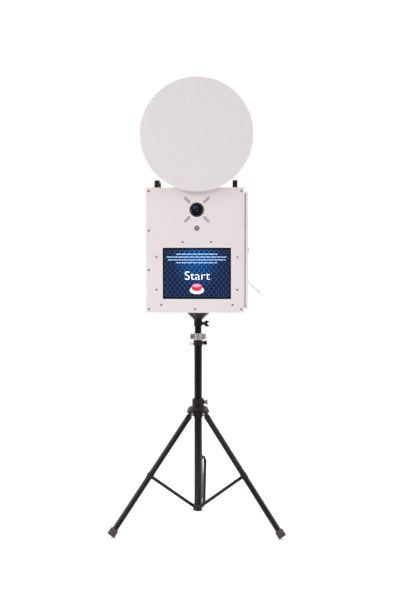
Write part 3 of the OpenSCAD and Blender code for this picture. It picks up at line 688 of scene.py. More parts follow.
def place_tree() -> Tree:
    """Copies a template to given places, facing one way, each turned about its own axis at random."""
    tree = Tree("copies_at_places")
    given = tree.take(Template="Object", Facing="Vector", Spin="Float", Material="Material")
    start = given.outputs
    shape = tree.add("GeometryNodeObjectInfo", {"Object": start["Template"]}, transform_space="ORIGINAL")
    copies = tree.add("GeometryNodeInstanceOnPoints", {
        "Points": start["Geometry"], "Instance": shape.outputs["Geometry"], "Rotation": start["Facing"]})
    chance = tree.add("FunctionNodeRandomValue", {"Seed": 7}, data_type="FLOAT")
    angle = tree.add("ShaderNodeMath", {0: chance.outputs[1], 1: start["Spin"]}, operation="MULTIPLY")
    about = tree.add("ShaderNodeCombineXYZ", {"Z": angle.outputs[0]})
    spun = tree.add("GeometryNodeRotateInstances", {
        "Instances": copies.outputs[0], "Rotation": about.outputs[0]})
    tree.end(spun.outputs[0], start["Material"])
    return tree


def ring_tree() -> Tree:
    """Sets copies of a template round a circle, each turned to face outwards."""
    tree = Tree("copies_round_a_circle")
    given = tree.take(Template="Object", Count="Int", Radius="Float", Facing="Vector",
                      Centre="Vector", Material="Material")
    start = given.outputs
    circle = tree.add("GeometryNodeMeshCircle", {"Vertices": start["Count"], "Radius": start["Radius"]})
    shape = tree.add("GeometryNodeObjectInfo", {"Object": start["Template"]}, transform_space="ORIGINAL")
    step = tree.add("ShaderNodeMath", {0: FULL_TURN, 1: start["Count"]}, operation="DIVIDE")
    index = tree.add("GeometryNodeInputIndex")
    angle = tree.add("ShaderNodeMath", {0: index.outputs[0], 1: step.outputs[0]}, operation="MULTIPLY")
    about = tree.add("ShaderNodeCombineXYZ", {"Z": angle.outputs[0]})
    copies = tree.add("GeometryNodeInstanceOnPoints", {
        "Points": circle.outputs[0], "Instance": shape.outputs["Geometry"], "Rotation": about.outputs[0]})
    moved = tree.add("GeometryNodeTransform", {
        "Geometry": copies.outputs[0], "Translation": start["Centre"], "Rotation": start["Facing"]})
    tree.end(moved.outputs[0], start["Material"])
    return tree


def sweep_tree() -> Tree:
    """Runs a rounded bar along the edges of a path, with its corners filleted."""
    tree = Tree("bar_along_a_path")
    given = tree.take(Width="Float", Height="Float", Round="Float", Bend="Float", Material="Material")
    start = given.outputs
    path = tree.add("GeometryNodeMeshToCurve", {"Mesh": start["Geometry"]})
    bent = tree.add("GeometryNodeFilletCurve", {
        "Curve": path.outputs[0], "Radius": start["Bend"], "Count": 8, "Limit Radius": True}, mode="POLY")
    box = tree.add("GeometryNodeCurvePrimitiveQuadrilateral", {
        "Width": start["Width"], "Height": start["Height"]})
    section = tree.add("GeometryNodeFilletCurve", {
        "Curve": box.outputs[0], "Radius": start["Round"], "Count": 4, "Limit Radius": True}, mode="POLY")
    bar = tree.add("GeometryNodeCurveToMesh", {
        "Curve": bent.outputs[0], "Profile Curve": section.outputs[0], "Fill Caps": True})
    smooth = tree.add("GeometryNodeSetShadeSmooth", {"Geometry": bar.outputs[0]})
    tree.end(smooth.outputs[0], start["Material"])
    return tree


def dish_tree() -> Tree:
    """Curves a grid into a reflector whose radius falls as a power of the depth."""
    tree = Tree("spun_reflector")
    given = tree.take(Rim="Float", Neck="Float", Lip="Float", Depth="Float", Power="Float",
                      Around="Int", Steps="Int", Centre="Vector", Material="Material")
    start = given.outputs
    grid = tree.add("GeometryNodeMeshGrid", {
        "Size X": 1.0, "Size Y": 1.0, "Vertices X": start["Around"], "Vertices Y": start["Steps"]})
    here = tree.add("GeometryNodeInputPosition")
    parts = tree.add("ShaderNodeSeparateXYZ", {0: here.outputs[0]})

    def calc(kind: str, a: Any, b: Any = 0.0) -> Any:
        """One step of the rule."""
        return tree.add("ShaderNodeMath", {0: a, 1: b}, operation=kind).outputs[0]

    turn = calc("MULTIPLY", calc("ADD", parts.outputs[0], 0.5), FULL_TURN)
    share = calc("ADD", parts.outputs[1], 0.5)
    narrowing = calc("POWER", calc("SUBTRACT", 1.0, share), start["Power"])
    wide = calc("SUBTRACT", start["Rim"], start["Neck"])
    radius = calc("ADD", start["Neck"], calc("MULTIPLY", wide, narrowing))
    run = calc("MULTIPLY", calc("SUBTRACT", start["Depth"], start["Lip"]), share)
    back = calc("ADD", start["Lip"], run)
    point = tree.add("ShaderNodeCombineXYZ", {
        0: calc("MULTIPLY", radius, calc("COSINE", turn)), 1: back,
        2: calc("MULTIPLY", radius, calc("SINE", turn))})
    bowl = tree.add("GeometryNodeSetPosition", {"Geometry": grid.outputs[0], "Position": point.outputs[0]})
    sewn = tree.add("GeometryNodeMergeByDistance", {"Geometry": bowl.outputs[0], "Distance": 1e-5})
    moved = tree.add("GeometryNodeTransform", {
        "Geometry": sewn.outputs[0], "Translation": start["Centre"]})
    smooth = tree.add("GeometryNodeSetShadeSmooth", {"Geometry": moved.outputs[0]})
    tree.end(smooth.outputs[0], start["Material"])
    return tree


PLACE = place_tree()
RING = ring_tree()
SWEEP = sweep_tree()
DISH = dish_tree()


def points_mesh(places: Iterable[Point], chain: bool = False) -> bpy.types.Mesh:
    """A mesh of bare points, or of one open chain of edges, from places in millimetres."""
    spots = [Vector(p) * MM for p in places]
    data = bpy.data.meshes.new("places")
    edges = [(i, i + 1) for i in range(len(spots) - 1)] if chain else []
    data.from_pydata(spots, edges, [])
    return data


def screw_head(diameter: float, height: float) -> Shape:
    """A pan-head screw with a crossed recess, standing on its own origin.

    Args:
        diameter: Of the head, in millimetres.
        height: Of the head, in millimetres.

    Returns:
        The shape, pointing along +Z.
    """
    steps = 24
    r = diameter / 2
    turns = [FULL_TURN * i / steps for i in range(steps)]
    levels = [(1.0, 0.0), (1.0, 0.25), (0.94, 0.62), (0.78, 0.9), (0.56, 1.0)]
    rings = [[(r * s * math.cos(a), r * s * math.sin(a), height * h) for a in turns] for s, h in levels]
    arms = [0.46 if i % 6 in (0, 1, 5) else 0.16 for i in range(steps)]
    for h in (1.0, 0.45):
        rings.append([(r * w * math.cos(a), r * w * math.sin(a), height * h)
                      for w, a in zip(arms, turns)])
    return Shape().loft(rings)


def strew(name: str, shape: Shape, places: Iterable[Point], finish: Finish, body: str, slot: str = "",
          facing: Point = (0.0, 0.0, 0.0), spin: float = 0.0, stands_for: Iterable[str] = ()) -> None:
    """Makes one piece of a shape's copies at given places.

    Args:
        name: The piece's name.
        shape: What is copied.
        places: Where the copies go, in millimetres.
        finish: Their surface.
        body: The CAD body that they move with.
        slot: The record's material slot, if one fits.
        facing: The turn that points the shape's own Z the right way.
        spin: The widest random turn of a copy about its own axis.
        stands_for: CAD nodes that the piece replaces.
    """
    made = PLACE.grow(name, points_mesh(places), Template=template(shape, f"{name}.one"), Facing=facing,
                      Spin=spin, Material=finish.material())
    settle(made, finish, body, slot, stands_for)


def encircle(name: str, shape: Shape, count: int, radius: float, centre: Point, finish: Finish,
             body: str, slot: str = "", facing: Point = (0.0, 0.0, 0.0),
             stands_for: Iterable[str] = ()) -> None:
    """Makes one piece of a shape's copies round a circle.

    Args:
        name: The piece's name.
        shape: What is copied.
        count: How many copies there are.
        radius: Of the circle, in millimetres.
        centre: Of the circle, in millimetres.
        finish: Their surface.
        body: The CAD body that they move with.
        slot: The record's material slot, if one fits.
        facing: The turn of the whole circle.
        stands_for: CAD nodes that the piece replaces.
    """
    made = RING.grow(name, Template=template(shape, f"{name}.one"), Count=count, Radius=radius * MM,
                     Facing=facing, Centre=tuple(v * MM for v in centre), Material=finish.material())
    settle(made, finish, body, slot, stands_for)


# ---- the stand ----


@dataclass
class Mast:
    """Both tubes, the collars and the clamp that holds the inner tube up."""

    grip: float = 18.0  # length of the knob's grip
    knob_r: float = 10.2
    lobes: int = 8
    band_r: float = 23.4

    def build(self) -> None:
        """Makes the mast's pieces."""
        refine("main_tube", TUBE_BLACK, 0.4)
        refine("inner_tube", TUBE_BLACK, 0.4)
        refine("foot_collar", CAST_BLACK, 0.9)
        refine("top_clamp", CAST_SILVER, 1.1, 3)
        refine("clamp_bolt", TURNED_STEEL, 0.5)
        refine("pin_collar", CAST_BLACK, 1.0, 3)
        refine("locking_pin", TURNED_STEEL, 0.0)
        self.knob()
        self.clamp_lips()

    def knob(self) -> None:
        """The round lobed knob that clamps the mast."""
        box = span_of("mast_knob")
        y, z = box.centre.y, box.centre.z
        grip, face, steps = self.grip, box.high.x - self.grip, 96
        levels = [(0.62, 0.0), (0.9, 0.5), (1.0, 2.4), (1.0, grip - 4), (0.93, grip - 1.4),
                  (0.72, grip), (0.45, grip - 0.6), (0.2, grip - 1.0)]
        rings = []
        for share, x in levels:
            ring = []
            for a in (FULL_TURN * i / steps for i in range(steps)):
                r = self.knob_r * share * (1 + 0.06 * share * math.cos(self.lobes * a))
                ring.append((r * math.cos(a), r * math.sin(a), x))
            rings.append(ring)
        shape = Shape().loft(rings, place=Axis.X.at(face, y, z))
        shape.turned([(0, box.low.x), (4, box.low.x), (4, face - 2.6), (6.5, face - 2.6),
                      (6.5, face), (0, face)], Axis.X.at(0, y, z), 48)
        settle(shape.object("mast_knob.lobed"), NYLON_BLACK, body_of("mast_knob"),
               stands_for=["mast_knob"])

    def clamp_lips(self) -> None:
        """Two rolled edges round the silver clamp's band."""
        box = span_of("top_clamp")
        shape = Shape()
        for z in (box.low.z + 3.2, box.high.z - 3.2):
            shape.turned(oval(0.9, 1.5, 12, (self.band_r, z)), Axis.Z.at(0, 0, 0))
        settle(shape.object("top_clamp.rolled_edges"), CAST_SILVER, "mast", "cast_silver")


@dataclass
class Hub:
    """The three-armed casting that the legs fold on, with its clamp above it."""

    wall: float = 4.0
    neck_r: float = 27.5
    waist: float = 15.0  # how far the skirt draws in between two arms
    rise: float = 19.0  # how far its edge rises there
    edge_up: float = 23.0  # from the hub's foot to the skirt's edge over an arm
    cheek_in: float = 6.3
    cheek_t: float = 5.0
    pivot_r: float = 42.0
    steps: int = 144

    def skirt(self, angle: float, box: Span) -> tuple[float, float]:
        """How far out, and at what height, the skirt ends at an angle round the mast."""
        between = 1 - (0.5 + 0.5 * math.cos(3 * (angle - math.pi / 2))) ** 0.7
        return box.high.x - self.waist * between, box.low.z + self.edge_up + self.rise * between

    def dome(self, shape: Shape, box: Span) -> None:
        """The skirt: a dome whose edge dips over each arm and arches between them."""
        rows, top = 9, box.high.z
        rings = []
        for angle in (FULL_TURN * i / self.steps for i in range(self.steps)):
            reach, edge = self.skirt(angle, box)
            outer = []
            for k in range(rows + 1):
                part = math.pi / 2 * k / rows
                outer.append((self.neck_r + (reach - self.neck_r) * math.sin(part),
                              edge + 4 + (top - edge - 4) * math.cos(part)))
            outer.append((reach, edge))
            inner = [(max(r - self.wall, self.neck_r - 4), z - 0.6 * self.wall) for r, z in outer[:-1]]
            inner.append((reach - self.wall, edge))
            loop = outer + inner[::-1]
            rings.append([(r * math.cos(angle), r * math.sin(angle), z) for r, z in loop])
        shape.loft(rings, closed=True)

    def lip(self, box: Span) -> None:
        """A rolled bead along the edge of the skirt."""
        rings = []
        for angle in (FULL_TURN * i / self.steps for i in range(self.steps)):
            reach, edge = self.skirt(angle, box)
            loop = oval(2.0, 1.6, 10, (reach - 2.0, edge + 1.6))
            rings.append([(r * math.cos(angle), r * math.sin(angle), z) for r, z in loop])
        shape = Shape().loft(rings, closed=True)
        settle(shape.object("hub.rolled_edge"), CAST_BLACK, body_of("hub"), "black_plastic")

    def knob(self) -> None:
        """The silver wing screw of the hub's clamp: one thick cast wing on a round neck."""
        box = span_of("hub_knob")
        x, y, z = box.low.x, box.centre.y, box.centre.z
        long, half = box.size.x - 3, box.size.z / 2 - 0.3
        place = Axis.BACK_Y.at(x + 3, y, z)
        wing = [(0, -5.5), (4, -7), (long - 5, -half), (long - 1.5, -half), (long, -half + 2), (long, -4),
                (long - 3, -1.6), (long - 3, 1.6), (long, 4), (long, half - 2), (long - 1.5, half),
                (long - 5, half), (4, 7), (0, 5.5)]
        shape = Shape().prism(wing, -3.6, 3.6, place)
        shape.turned([(0, 0), (4, 0), (4, 3), (6, 3.2), (6, 8), (0, 8)], Axis.X.at(x, y, z), 40)
        settle(shape.object("hub_knob.wing", 1.2, 3), CAST_SILVER, body_of("hub_knob"),
               stands_for=["hub_knob"])
        slot = Shape().prism([(4, -2.2), (long - 4, -2.2), (long - 4, 2.2), (4, 2.2)], -3.9, 3.9, place)
        settle(slot.object("hub_knob.slot", 0.4), NYLON_BLACK, body_of("hub_knob"), "black_plastic")

    def build(self) -> None:
        """Makes the hub, its cheeks, the pins, the clamp and its wing knob."""
        box = span_of("hub")
        pivot = self.pivot_r
        shape = Shape()
        self.dome(shape, box)
        shape.turned([(20.6, box.low.z), (24.2, box.low.z), (25, box.low.z + 1.2), (25, box.high.z - 1),
                      (20.6, box.high.z)], Axis.Z.at(0, 0, 0), 96)
        level = box.low.z + 19
        for azimuth in (-150, -30, 90):
            arm = Matrix.Rotation(math.radians(azimuth), 4, "Z")
            outline = [(23.5, level - 9), (pivot - 4, level - 10.4)]
            outline += [(pivot + 11 * math.sin(a), level - 11 * math.cos(a))
                        for a in (math.pi * i / 10 for i in range(11))]
            outline += [(pivot - 2, level + 18), (23.5, level + 30)]
            stand = arm @ Axis.BACK_Y.at(0, 0, 0)
            for side in (-1, 1):
                low = side * self.cheek_in
                high = side * (self.cheek_in + self.cheek_t)
                shape.prism(outline, min(low, high), max(low, high), stand)
        settle(shape.object("hub.casting", 0.7), CAST_BLACK, body_of("hub"), stands_for=["hub"])
        refine("leg_pins", TURNED_STEEL, 0.5)
        refine("hub_clamp", CAST_BLACK, 2.4, 4)
        self.lip(box)
        self.knob()
        rib = Shape().prism(rounded(3.0, 1.6, 0.7, 3), -13, 13)
        encircle("hub_clamp.ribs", rib, 16, 29.4, (0, 0, span_of("hub_clamp").centre.z), CAST_BLACK,
                 "hub_body", "black_plastic", (0.0, 0.0, 0.12))


@dataclass
class Legs:
    """The three legs with their brackets, braces and rubber feet."""

    spread: float = 38.2
    foot_r: float = 21.5
    foot_l: float = 38.0
    pivot_r: float = 42.0
    hub_z: float = 580.0
    tube_r: float = 15.0
    bracket_down: float = 374.0
    brace_r: float = 8.5
    brace_low: tuple[float, float, float] = (13.0, -29.1, 88.0)
    brace_high: tuple[float, float, float] = (273.3, -29.1, 286.1)

    def foot(self, side: str, azimuth: float) -> None:
        """A ribbed rubber cap, worn flat where it stands."""
        length = (self.hub_z - self.foot_r * math.sin(math.radians(self.spread)) + 1.7) / math.cos(
            math.radians(self.spread))
        place = self.leg_place(azimuth) @ Matrix.Translation((0, 0, -length))
        r, tall = self.foot_r, self.foot_l
        outline = [(0, 5), (0, 0), (r - 4, 0), (r - 1.2, 0.8), (r, 3)]
        for i in range(4):
            low = 7 + 5.2 * i
            outline += [(r, low), (r - 0.9, low + 0.5), (r - 0.9, low + 1.7), (r, low + 2.2)]
        outline += [(r, tall - 8), (r - 0.6, tall - 3), (r - 2, tall), (15.1, tall), (15.1, 5)]
        shape = Shape().turned(outline, place, 96)
        for vertex in shape.mesh.verts:
            vertex.co.z = max(vertex.co.z, 0.0)
        node = f"foot_{side}"
        settle(shape.object(f"{node}.ribbed"), RUBBER, body_of(node), stands_for=[node])

    def leg_place(self, azimuth: float) -> Matrix:
        """The frame of a leg: its origin at the pivot and the leg along -Z."""
        return (Matrix.Rotation(math.radians(azimuth), 4, "Z")
                @ Matrix.Translation((self.pivot_r, 0, self.hub_z))
                @ Matrix.Rotation(math.radians(-self.spread), 4, "Y"))

    def sleeve(self, side: str, azimuth: float) -> None:
        """The moulded sleeve that closes the top of the leg's tube round its lug."""
        r = self.tube_r
        outline = [(r + 0.5, -38), (r + 0.5, -14), (r - 0.6, -12), (r - 1.8, -12), (r - 1.8, -38)]
        shape = Shape().turned(outline, self.leg_place(azimuth), 72)
        settle(shape.object(f"leg_{side}.sleeve"), TUBE_BLACK, body_of(f"leg_{side}"), "black_plastic")

    def brace(self, side: str, azimuth: float) -> None:
        """The round middle of a brace, between its two flattened ends."""
        low, high = Vector(self.brace_low), Vector(self.brace_high)
        run = high - low
        x, z = run.normalized().x, run.normalized().z
        along = Matrix(((z, 0, x, low.x), (0, 1, 0, low.y), (-x, 0, z, low.z), (0, 0, 0, 1)))
        r, end = self.brace_r, run.length - 22
        outline = [(5.5, 22), (r - 1.4, 22), (r - 0.3, 24), (r, 27), (r, end - 5), (r - 0.3, end - 2),
                   (r - 1.4, end), (5.5, end)]
        shape = Shape().turned(outline, Matrix.Rotation(math.radians(azimuth), 4, "Z") @ along, 56)
        settle(shape.object(f"brace_{side}.tube"), TUBE_BLACK, body_of(f"brace_{side}"),
               "black_powder_coat")

    def bracket(self, side: str, azimuth: float) -> None:
        """The thin strap round the leg, with the boss that its brace hangs on."""
        leg, down, r = self.leg_place(azimuth), self.bracket_down, self.tube_r
        outline = [(r + 0.1, -down - 15), (r + 0.8, -down - 14.6), (r + 1.5, -down - 13.5),
                   (r + 1.5, -down + 13.5), (r + 0.8, -down + 14.6), (r + 0.1, -down + 15)]
        shape = Shape().turned(outline, leg, 72)
        shape.turned([(0, 12), (9, 12), (9, 19.2), (8.4, 20.1), (7.6, 20.3), (0, 20.3)],
                     leg @ Axis.BACK_Y.at(0, 0, -down), 48)
        node = f"leg_bracket_{side}"
        settle(shape.object(f"{node}.strap"), NYLON_BLACK, body_of(node), stands_for=[node])

    def build(self) -> None:
        """Makes each leg with what hangs on it."""
        for side, azimuth in (("left", -150), ("right", -30), ("rear", 90)):
            self.sleeve(side, azimuth)
            refine(f"leg_{side}", TUBE_BLACK, 0.5)
            refine(f"brace_{side}", TUBE_BLACK, 0.7)
            self.brace(side, azimuth)
            self.bracket(side, azimuth)
            self.foot(side, azimuth)


@dataclass
class PoleMount:
    """The flanged cup under the cabinet that the inner tube enters."""

    ribs: int = 8
    gusset_in: float = 20.5
    gusset_out: float = 60.8
    gusset_h: float = 37.0
    gusset_t: float = 3.0

    def build(self) -> None:
        """Makes the cup, its gussets and its wing knob."""
        refine("pole_mount", CAST_BLACK, 0.8)
        refine("pole_knob", NYLON_BLACK, 2.2, 4)
        box = span_of("pole_mount")
        top = box.high.z - 6
        near, far, foot = self.gusset_in, self.gusset_out, top - self.gusset_h
        outline = [(near, foot), (near + 2.1, foot), (far, top - 2), (far, top - 0.4), (near, top - 0.4)]
        half = self.gusset_t / 2
        gusset = Shape().prism(outline, -half, half, Axis.BACK_Y.at(0, 0, 0))
        encircle("pole_mount.gussets", gusset, self.ribs, 0, (0, 0, 0), CAST_BLACK,
                 body_of("pole_mount"), "black_powder_coat")


# ---- the cabinet ----


@dataclass
class Cabinet:
    """The white case: panels, corner posts, screws, handles and rear vents."""

    head_d: float = 10.0
    head_t: float = 2.4
    handle_w: float = 24.0
    handle_t: float = 13.0
    screw_side: float = 15.5  # from the panel's side to the outer screws
    screw_end: float = 18.0  # and from its top and bottom
    vent_w: float = 124.0
    vent_pitch: float = 16.0

    def panels(self) -> None:
        """The sheet-metal panels and the rails round the door's opening."""
        refine("front_panel", PANEL_WHITE, 0.5)
        for node in ("top_panel", "bottom_panel", "left_panel", "rear_panel", "door_frame"):
            refine(node, PANEL_WHITE, 0.6)
        refine("corner_posts", ZINC_SHEET, 0.3)

    def screws(self) -> None:
        """The front screws, and those that hold the pole mount."""
        front, screen = span_of("front_panel"), span_of("screen")
        side, end = self.screw_side, self.screw_end
        middle = front.centre.x
        rise = (front.size.z - 2 * end) / 3
        spots = [(front.low.x + side, front.low.z + end + i * rise) for i in range(4)]
        spots += [(front.high.x - side, z) for z in (front.low.z + end, front.high.z - end)]
        spots += [(middle, front.low.z + end)]
        half_w, half_h = screen.size.x / 2 + 0.5, screen.size.z / 2 + 0.5
        z0 = screen.centre.z
        spots += [(s * (half_w + 31), z0 + t * 80) for s in (-1, 1) for t in (-1, 1)]
        spots += [(s * 70, z0 + half_h + 28) for s in (-1, 1)]
        spots += [(s * (half_w + 8), z0 - half_h - 29) for s in (-1, 1)]
        strew("case_screws.front", screw_head(self.head_d, self.head_t),
              [(x, front.low.y, z) for x, z in spots], BRONZE_PLATE, "cabinet",
              facing=(math.pi / 2, 0.0, 0.0), spin=FULL_TURN, stands_for=["case_screws"])
        mount = span_of("pole_mount")
        ring = mount.size.x / 2 - 8
        below = [(ring * math.cos(a), ring * math.sin(a), mount.high.z - 6)
                 for a in (math.pi / 4 + math.pi / 2 * i for i in range(4))]
        strew("pole_mount.screws", screw_head(9, 3), below, TURNED_STEEL, "cabinet", "bright_steel",
              facing=(math.pi, 0.0, 0.0), spin=FULL_TURN)

    def handles(self) -> None:
        """Two strap handles of rounded bar, each on two feet."""
        box = span_of("carry_handles")
        half, up = box.size.y / 2, box.size.z
        t = self.handle_t
        flat = up - t / 2
        shape = Shape()
        for n, x in enumerate((box.low.x + self.handle_w / 2, box.high.x - self.handle_w / 2)):
            low = box.low.z
            path = [(x, -half + t / 2 + 2, low + 2), (x, -half + t / 2 + 8, low + flat - 6),
                    (x, -half + 22, low + flat), (x, half - 22, low + flat),
                    (x, half - t / 2 - 8, low + flat - 6), (x, half - t / 2 - 2, low + 2)]
            bar = SWEEP.grow(f"carry_handles.bar_{n}", points_mesh(path, chain=True),
                             Width=self.handle_w * MM, Height=t * MM, Round=3.2 * MM, Bend=9 * MM,
                             Material=NYLON_BLACK.material())
            stands = ["carry_handles"] if n == 0 else []
            settle(bar, NYLON_BLACK, "cabinet", "black_plastic", stands)
            for s in (-1, 1):
                y = s * (half - 13)
                shape.prism(rounded(self.handle_w, 26, 4), low, low + 4, Matrix.Translation((x, y, 0)))
        settle(shape.object("carry_handles.feet", 0.9), NYLON_BLACK, "cabinet", "black_plastic")

    def vents(self) -> None:
        """A pressed hood over each slot in the rear panel."""
        box = span_of("rear_panel")
        arc = [(3.4 * math.sin(a), 4.6 * math.cos(a) - 1) for a in (math.pi * i / 8 for i in range(9))]
        hood = Shape().prism(arc + [(-0.4, -4.8), (-0.4, 3.6)], -self.vent_w / 2, self.vent_w / 2,
                             Axis.X.at(0, 0, 0))
        places = [(box.centre.x + s * 90, box.high.y, box.high.z - 62.5 - self.vent_pitch * i)
                  for s in (-1, 1) for i in range(6)]
        strew("rear_panel.vent_hoods", hood, places, PANEL_WHITE, "cabinet", "white_panel")

    def build(self) -> None:
        """Makes the case."""
        self.panels()
        self.screws()
        self.handles()
        self.vents()


@dataclass
class Door:
    """The door with its seal, hinges, lock, print slot and tray."""

    sheet_t: float = 3.0
    bend_r: float = 6.0
    screw_y: float = 182.0  # the face of the hinges' leaves

    def tray(self) -> None:
        """One clear sheet, bent twice, of the same thickness all along."""
        box = span_of("print_tray")
        half = self.sheet_t / 2
        low, high = box.low, box.high
        line = [Vector((low.x + half, high.z)), Vector((low.x + half, high.z - 24)),
                Vector((high.x - 3.2, low.z + 3.0)), Vector((high.x - 6.0, low.z + 32))]
        route = [line[0]]
        for before, corner, after in zip(line, line[1:], line[2:]):
            a, b = (before - corner).normalized(), (after - corner).normalized()
            reach = self.bend_r / math.tan(a.angle(b) / 2)
            middle = corner + (a + b).normalized() * self.bend_r / math.sin(a.angle(b) / 2)
            start, stop = corner + a * reach - middle, corner + b * reach - middle
            route += [middle + start.slerp(stop, i / 8) for i in range(9)]
        route.append(line[-1])
        left, right = [], []
        for i, point in enumerate(route):
            way = (route[min(i + 1, len(route) - 1)] - route[max(i - 1, 0)]).normalized()
            side = Vector((way.y, -way.x)) * half
            left.append(tuple(point + side))
            right.append(tuple(point - side))
        shape = Shape().prism(left + right[::-1], -high.y, -low.y, Axis.BACK_Y.at(0, 0, 0))
        sheet = shape.object("print_tray.bent_sheet")
        sheet.data.materials.append(ACRYLIC.material())
        sheet.data.materials.append(ACRYLIC_EDGE_PAINTED_LIGHT.material())
        # faces that point to the front take the pale edge colour: painted light on the sheet's cut edge
        for face in sheet.data.polygons:
            face.material_index = 1 if face.normal.y < -0.9 else 0
        settle(sheet, ACRYLIC, "door_body", stands_for=["print_tray"])

    def slot_frame(self) -> None:
        """A black moulded frame in the print slot, with its lip just proud of the door."""
        door, tray = span_of("door"), span_of("print_tray")
        y, z, width, height = tray.centre.y, tray.high.z + 14, tray.size.y - 10, 22.0
        outer, inner = rounded(width + 4.4, height + 4.4, 3), rounded(width - 3, height - 3, 2)
        back_inner = rounded(width - 1.6, height - 1.6, 2)
        back = rounded(width - 0.2, height - 0.2, 1.5)
        face, depth = door.high.x, door.size.x
        rings = [[(p[0], p[1], h) for p in ring] for ring, h in (
            (outer, 0.0), (outer, 1.2), (inner, 1.8), (inner, 0.0), (back_inner, -depth), (back, -depth),
            (back, 0.0))]
        shape = Shape().loft(rings, closed=True, place=Axis.X.at(face, y, z))
        settle(shape.object("door.slot_frame"), ABS_BLACK, "door_body", "black_plastic")

    def hinge_screws(self) -> None:
        """Countersunk screws in both leaves of each hinge."""
        box, door = span_of("door_hinges"), span_of("door")
        low, high = box.low.z, box.high.z
        levels = [low + 9, low + 51, high - 51, high - 9]
        fixed = [(box.low.x + 10, self.screw_y, z) for z in levels]
        swung = [(door.high.x - 4.5, self.screw_y, z) for z in levels]
        for name, body, places in (("door_hinges.screws", "cabinet", fixed),
                                   ("hinge_leaves.screws", "door_body", swung)):
            strew(name, screw_head(5.6, 1.0), places, TURNED_STEEL, body, "bright_steel",
                  facing=(-math.pi / 2, 0.0, 0.0), spin=FULL_TURN)

    def build(self) -> None:
        """Makes the door's side of the cabinet."""
        # the door's white is the panels' powder drawn lighter: painted light on that side of the case
        refine("door", DOOR_WHITE_PAINTED_LIGHT, 1.4, 3)
        refine("door_seal", SPONGE, 1.2, 3)
        refine("door_hinges", TURNED_STEEL, 0.4)
        refine("hinge_leaves", TURNED_STEEL, 0.4)
        refine("door_lock", TURNED_STEEL, 0.6, 3)
        self.tray()
        self.slot_frame()
        self.hinge_screws()


# ---- screen, camera and what is inside ----


@dataclass
class Screen:
    """The monitor with its cover glass and the start picture."""

    picture_w: float = 320.0
    picture_h: float = 235.0
    ink_t: float = 0.25  # thickness of what is drawn on the picture
    word_size: float = 60.0

    def glass(self) -> Span:
        """The cover glass: a black border round the lit picture.

        Returns:
            The glass's box.
        """
        box = span_of("screen")
        width, height = box.size.x, box.size.z
        place = Axis.BACK_Y.at(box.centre.x, box.low.y, box.centre.z)
        deep = box.size.y
        picture = rounded(self.picture_w, self.picture_h, 1.5, 3)
        outer, shoulder = rounded(width, height, 2.5, 3), rounded(width - 1.4, height - 1.4, 2, 3)
        rings = [[(x, y, h) for x, y in ring] for ring, h in (
            (outer, -deep), (outer, -0.6), (shoulder, 0.0), (picture, 0.0), (picture, -0.3),
            (rounded(self.picture_w - 1, self.picture_h - 1, 1.5, 3), -deep))]
        frame_shape = Shape().loft(rings, closed=True, place=place)
        settle(frame_shape.object("screen.black_border"), GLASS_BLACK, "cabinet", stands_for=["screen"])
        lit = Shape().prism(rounded(self.picture_w - 0.1, self.picture_h - 0.1, 1.5, 3), -3.0, -0.35, place)
        settle(lit.object("screen.picture", 0.15), PICTURE, "cabinet", "screen_glass")
        return box

    def bars(self, box: Span) -> None:
        """Four centred lines of plain word-like bars in place of any wording."""
        lines = [(203, 31), (293, 45), (279, 59), (203, 73)]
        shape = Shape()
        for row, (width, down) in enumerate(lines):
            x, step = -width / 2, 0
            while x < width / 2:
                long = 2.0 + 1.5 * abs(math.sin(2.1 * step + row))
                tall = 3.6 + 1.6 * abs(math.sin(3.7 * step + 2 * row))
                place = Axis.BACK_Y.at(box.centre.x + x, box.low.y + 0.35, box.high.z - down)
                shape.prism(rounded(long, tall, 0.7, 2), 0, self.ink_t, place)
                x += long + (3.4 if step % 6 == 5 else 1.3)
                step += 1
        settle(shape.object("screen.word_bars"), PICTURE_PALE, "cabinet", "screen_glass")

    def word(self, box: Span) -> None:
        """The plain word on the start picture."""
        curve = bpy.data.curves.new("start_word", "FONT")
        curve.body = "Start"
        curve.size = self.word_size * MM
        curve.extrude = self.ink_t / 2 * MM
        curve.offset = -0.8 * MM
        curve.align_x = "CENTER"
        text = bpy.data.objects.new("start_word", curve)
        bpy.context.scene.collection.objects.link(text)
        graph = bpy.context.evaluated_depsgraph_get()
        data = bpy.data.meshes.new_from_object(text.evaluated_get(graph), depsgraph=graph)
        bpy.data.objects.remove(text)
        spot = Vector((box.centre.x + 1.5, box.low.y + 0.25, box.centre.z - 31)) * MM
        data.transform(Matrix.Translation(spot) @ Matrix.Rotation(math.pi / 2, 4, "X")
                       @ Matrix.Diagonal((1.1, 1, 1, 1)))
        made = bpy.data.objects.new("screen.start_word", data)
        bpy.context.scene.collection.objects.link(made)
        settle(made, PICTURE_WHITE, "cabinet", "screen_glass")

    def button_picture(self, box: Span) -> None:
        """A drawn red push button on a white ring."""
        layers = [("base", PICTURE_PALE, [(0, -84, 71, 36, 0.0)]),
                  ("ring", PICTURE_WHITE, [(0, -80, 66, 32, 0.1)]),
                  ("dome", PICTURE_RED, [(0, -74, 51, 27, 0.2), (0, -66, 51, 32, 0.2),
                                         (0, -95, 15, 4.5, 0.2)]),
                  ("shine", PICTURE_PINK, [(-1, -60, 40, 15, 0.3)])]
        for name, finish, ovals in layers:
            shape = Shape()
            for x, z, width, height, out in ovals:
                shape.prism(oval(width / 2, height / 2, 48), 0, self.ink_t,
                            Axis.BACK_Y.at(box.centre.x + x, box.low.y + 0.35 - out, box.centre.z + z))
            settle(shape.object(f"screen.button_{name}"), finish, "cabinet", "screen_glass")

    def build(self) -> None:
        """Makes the screen."""
        refine("monitor", ABS_GREY, 2.0, 3)
        refine("monitor_frame", TUBE_BLACK, 0.3)
        box = self.glass()
        self.bars(box)
        self.word(box)
        self.button_picture(box)


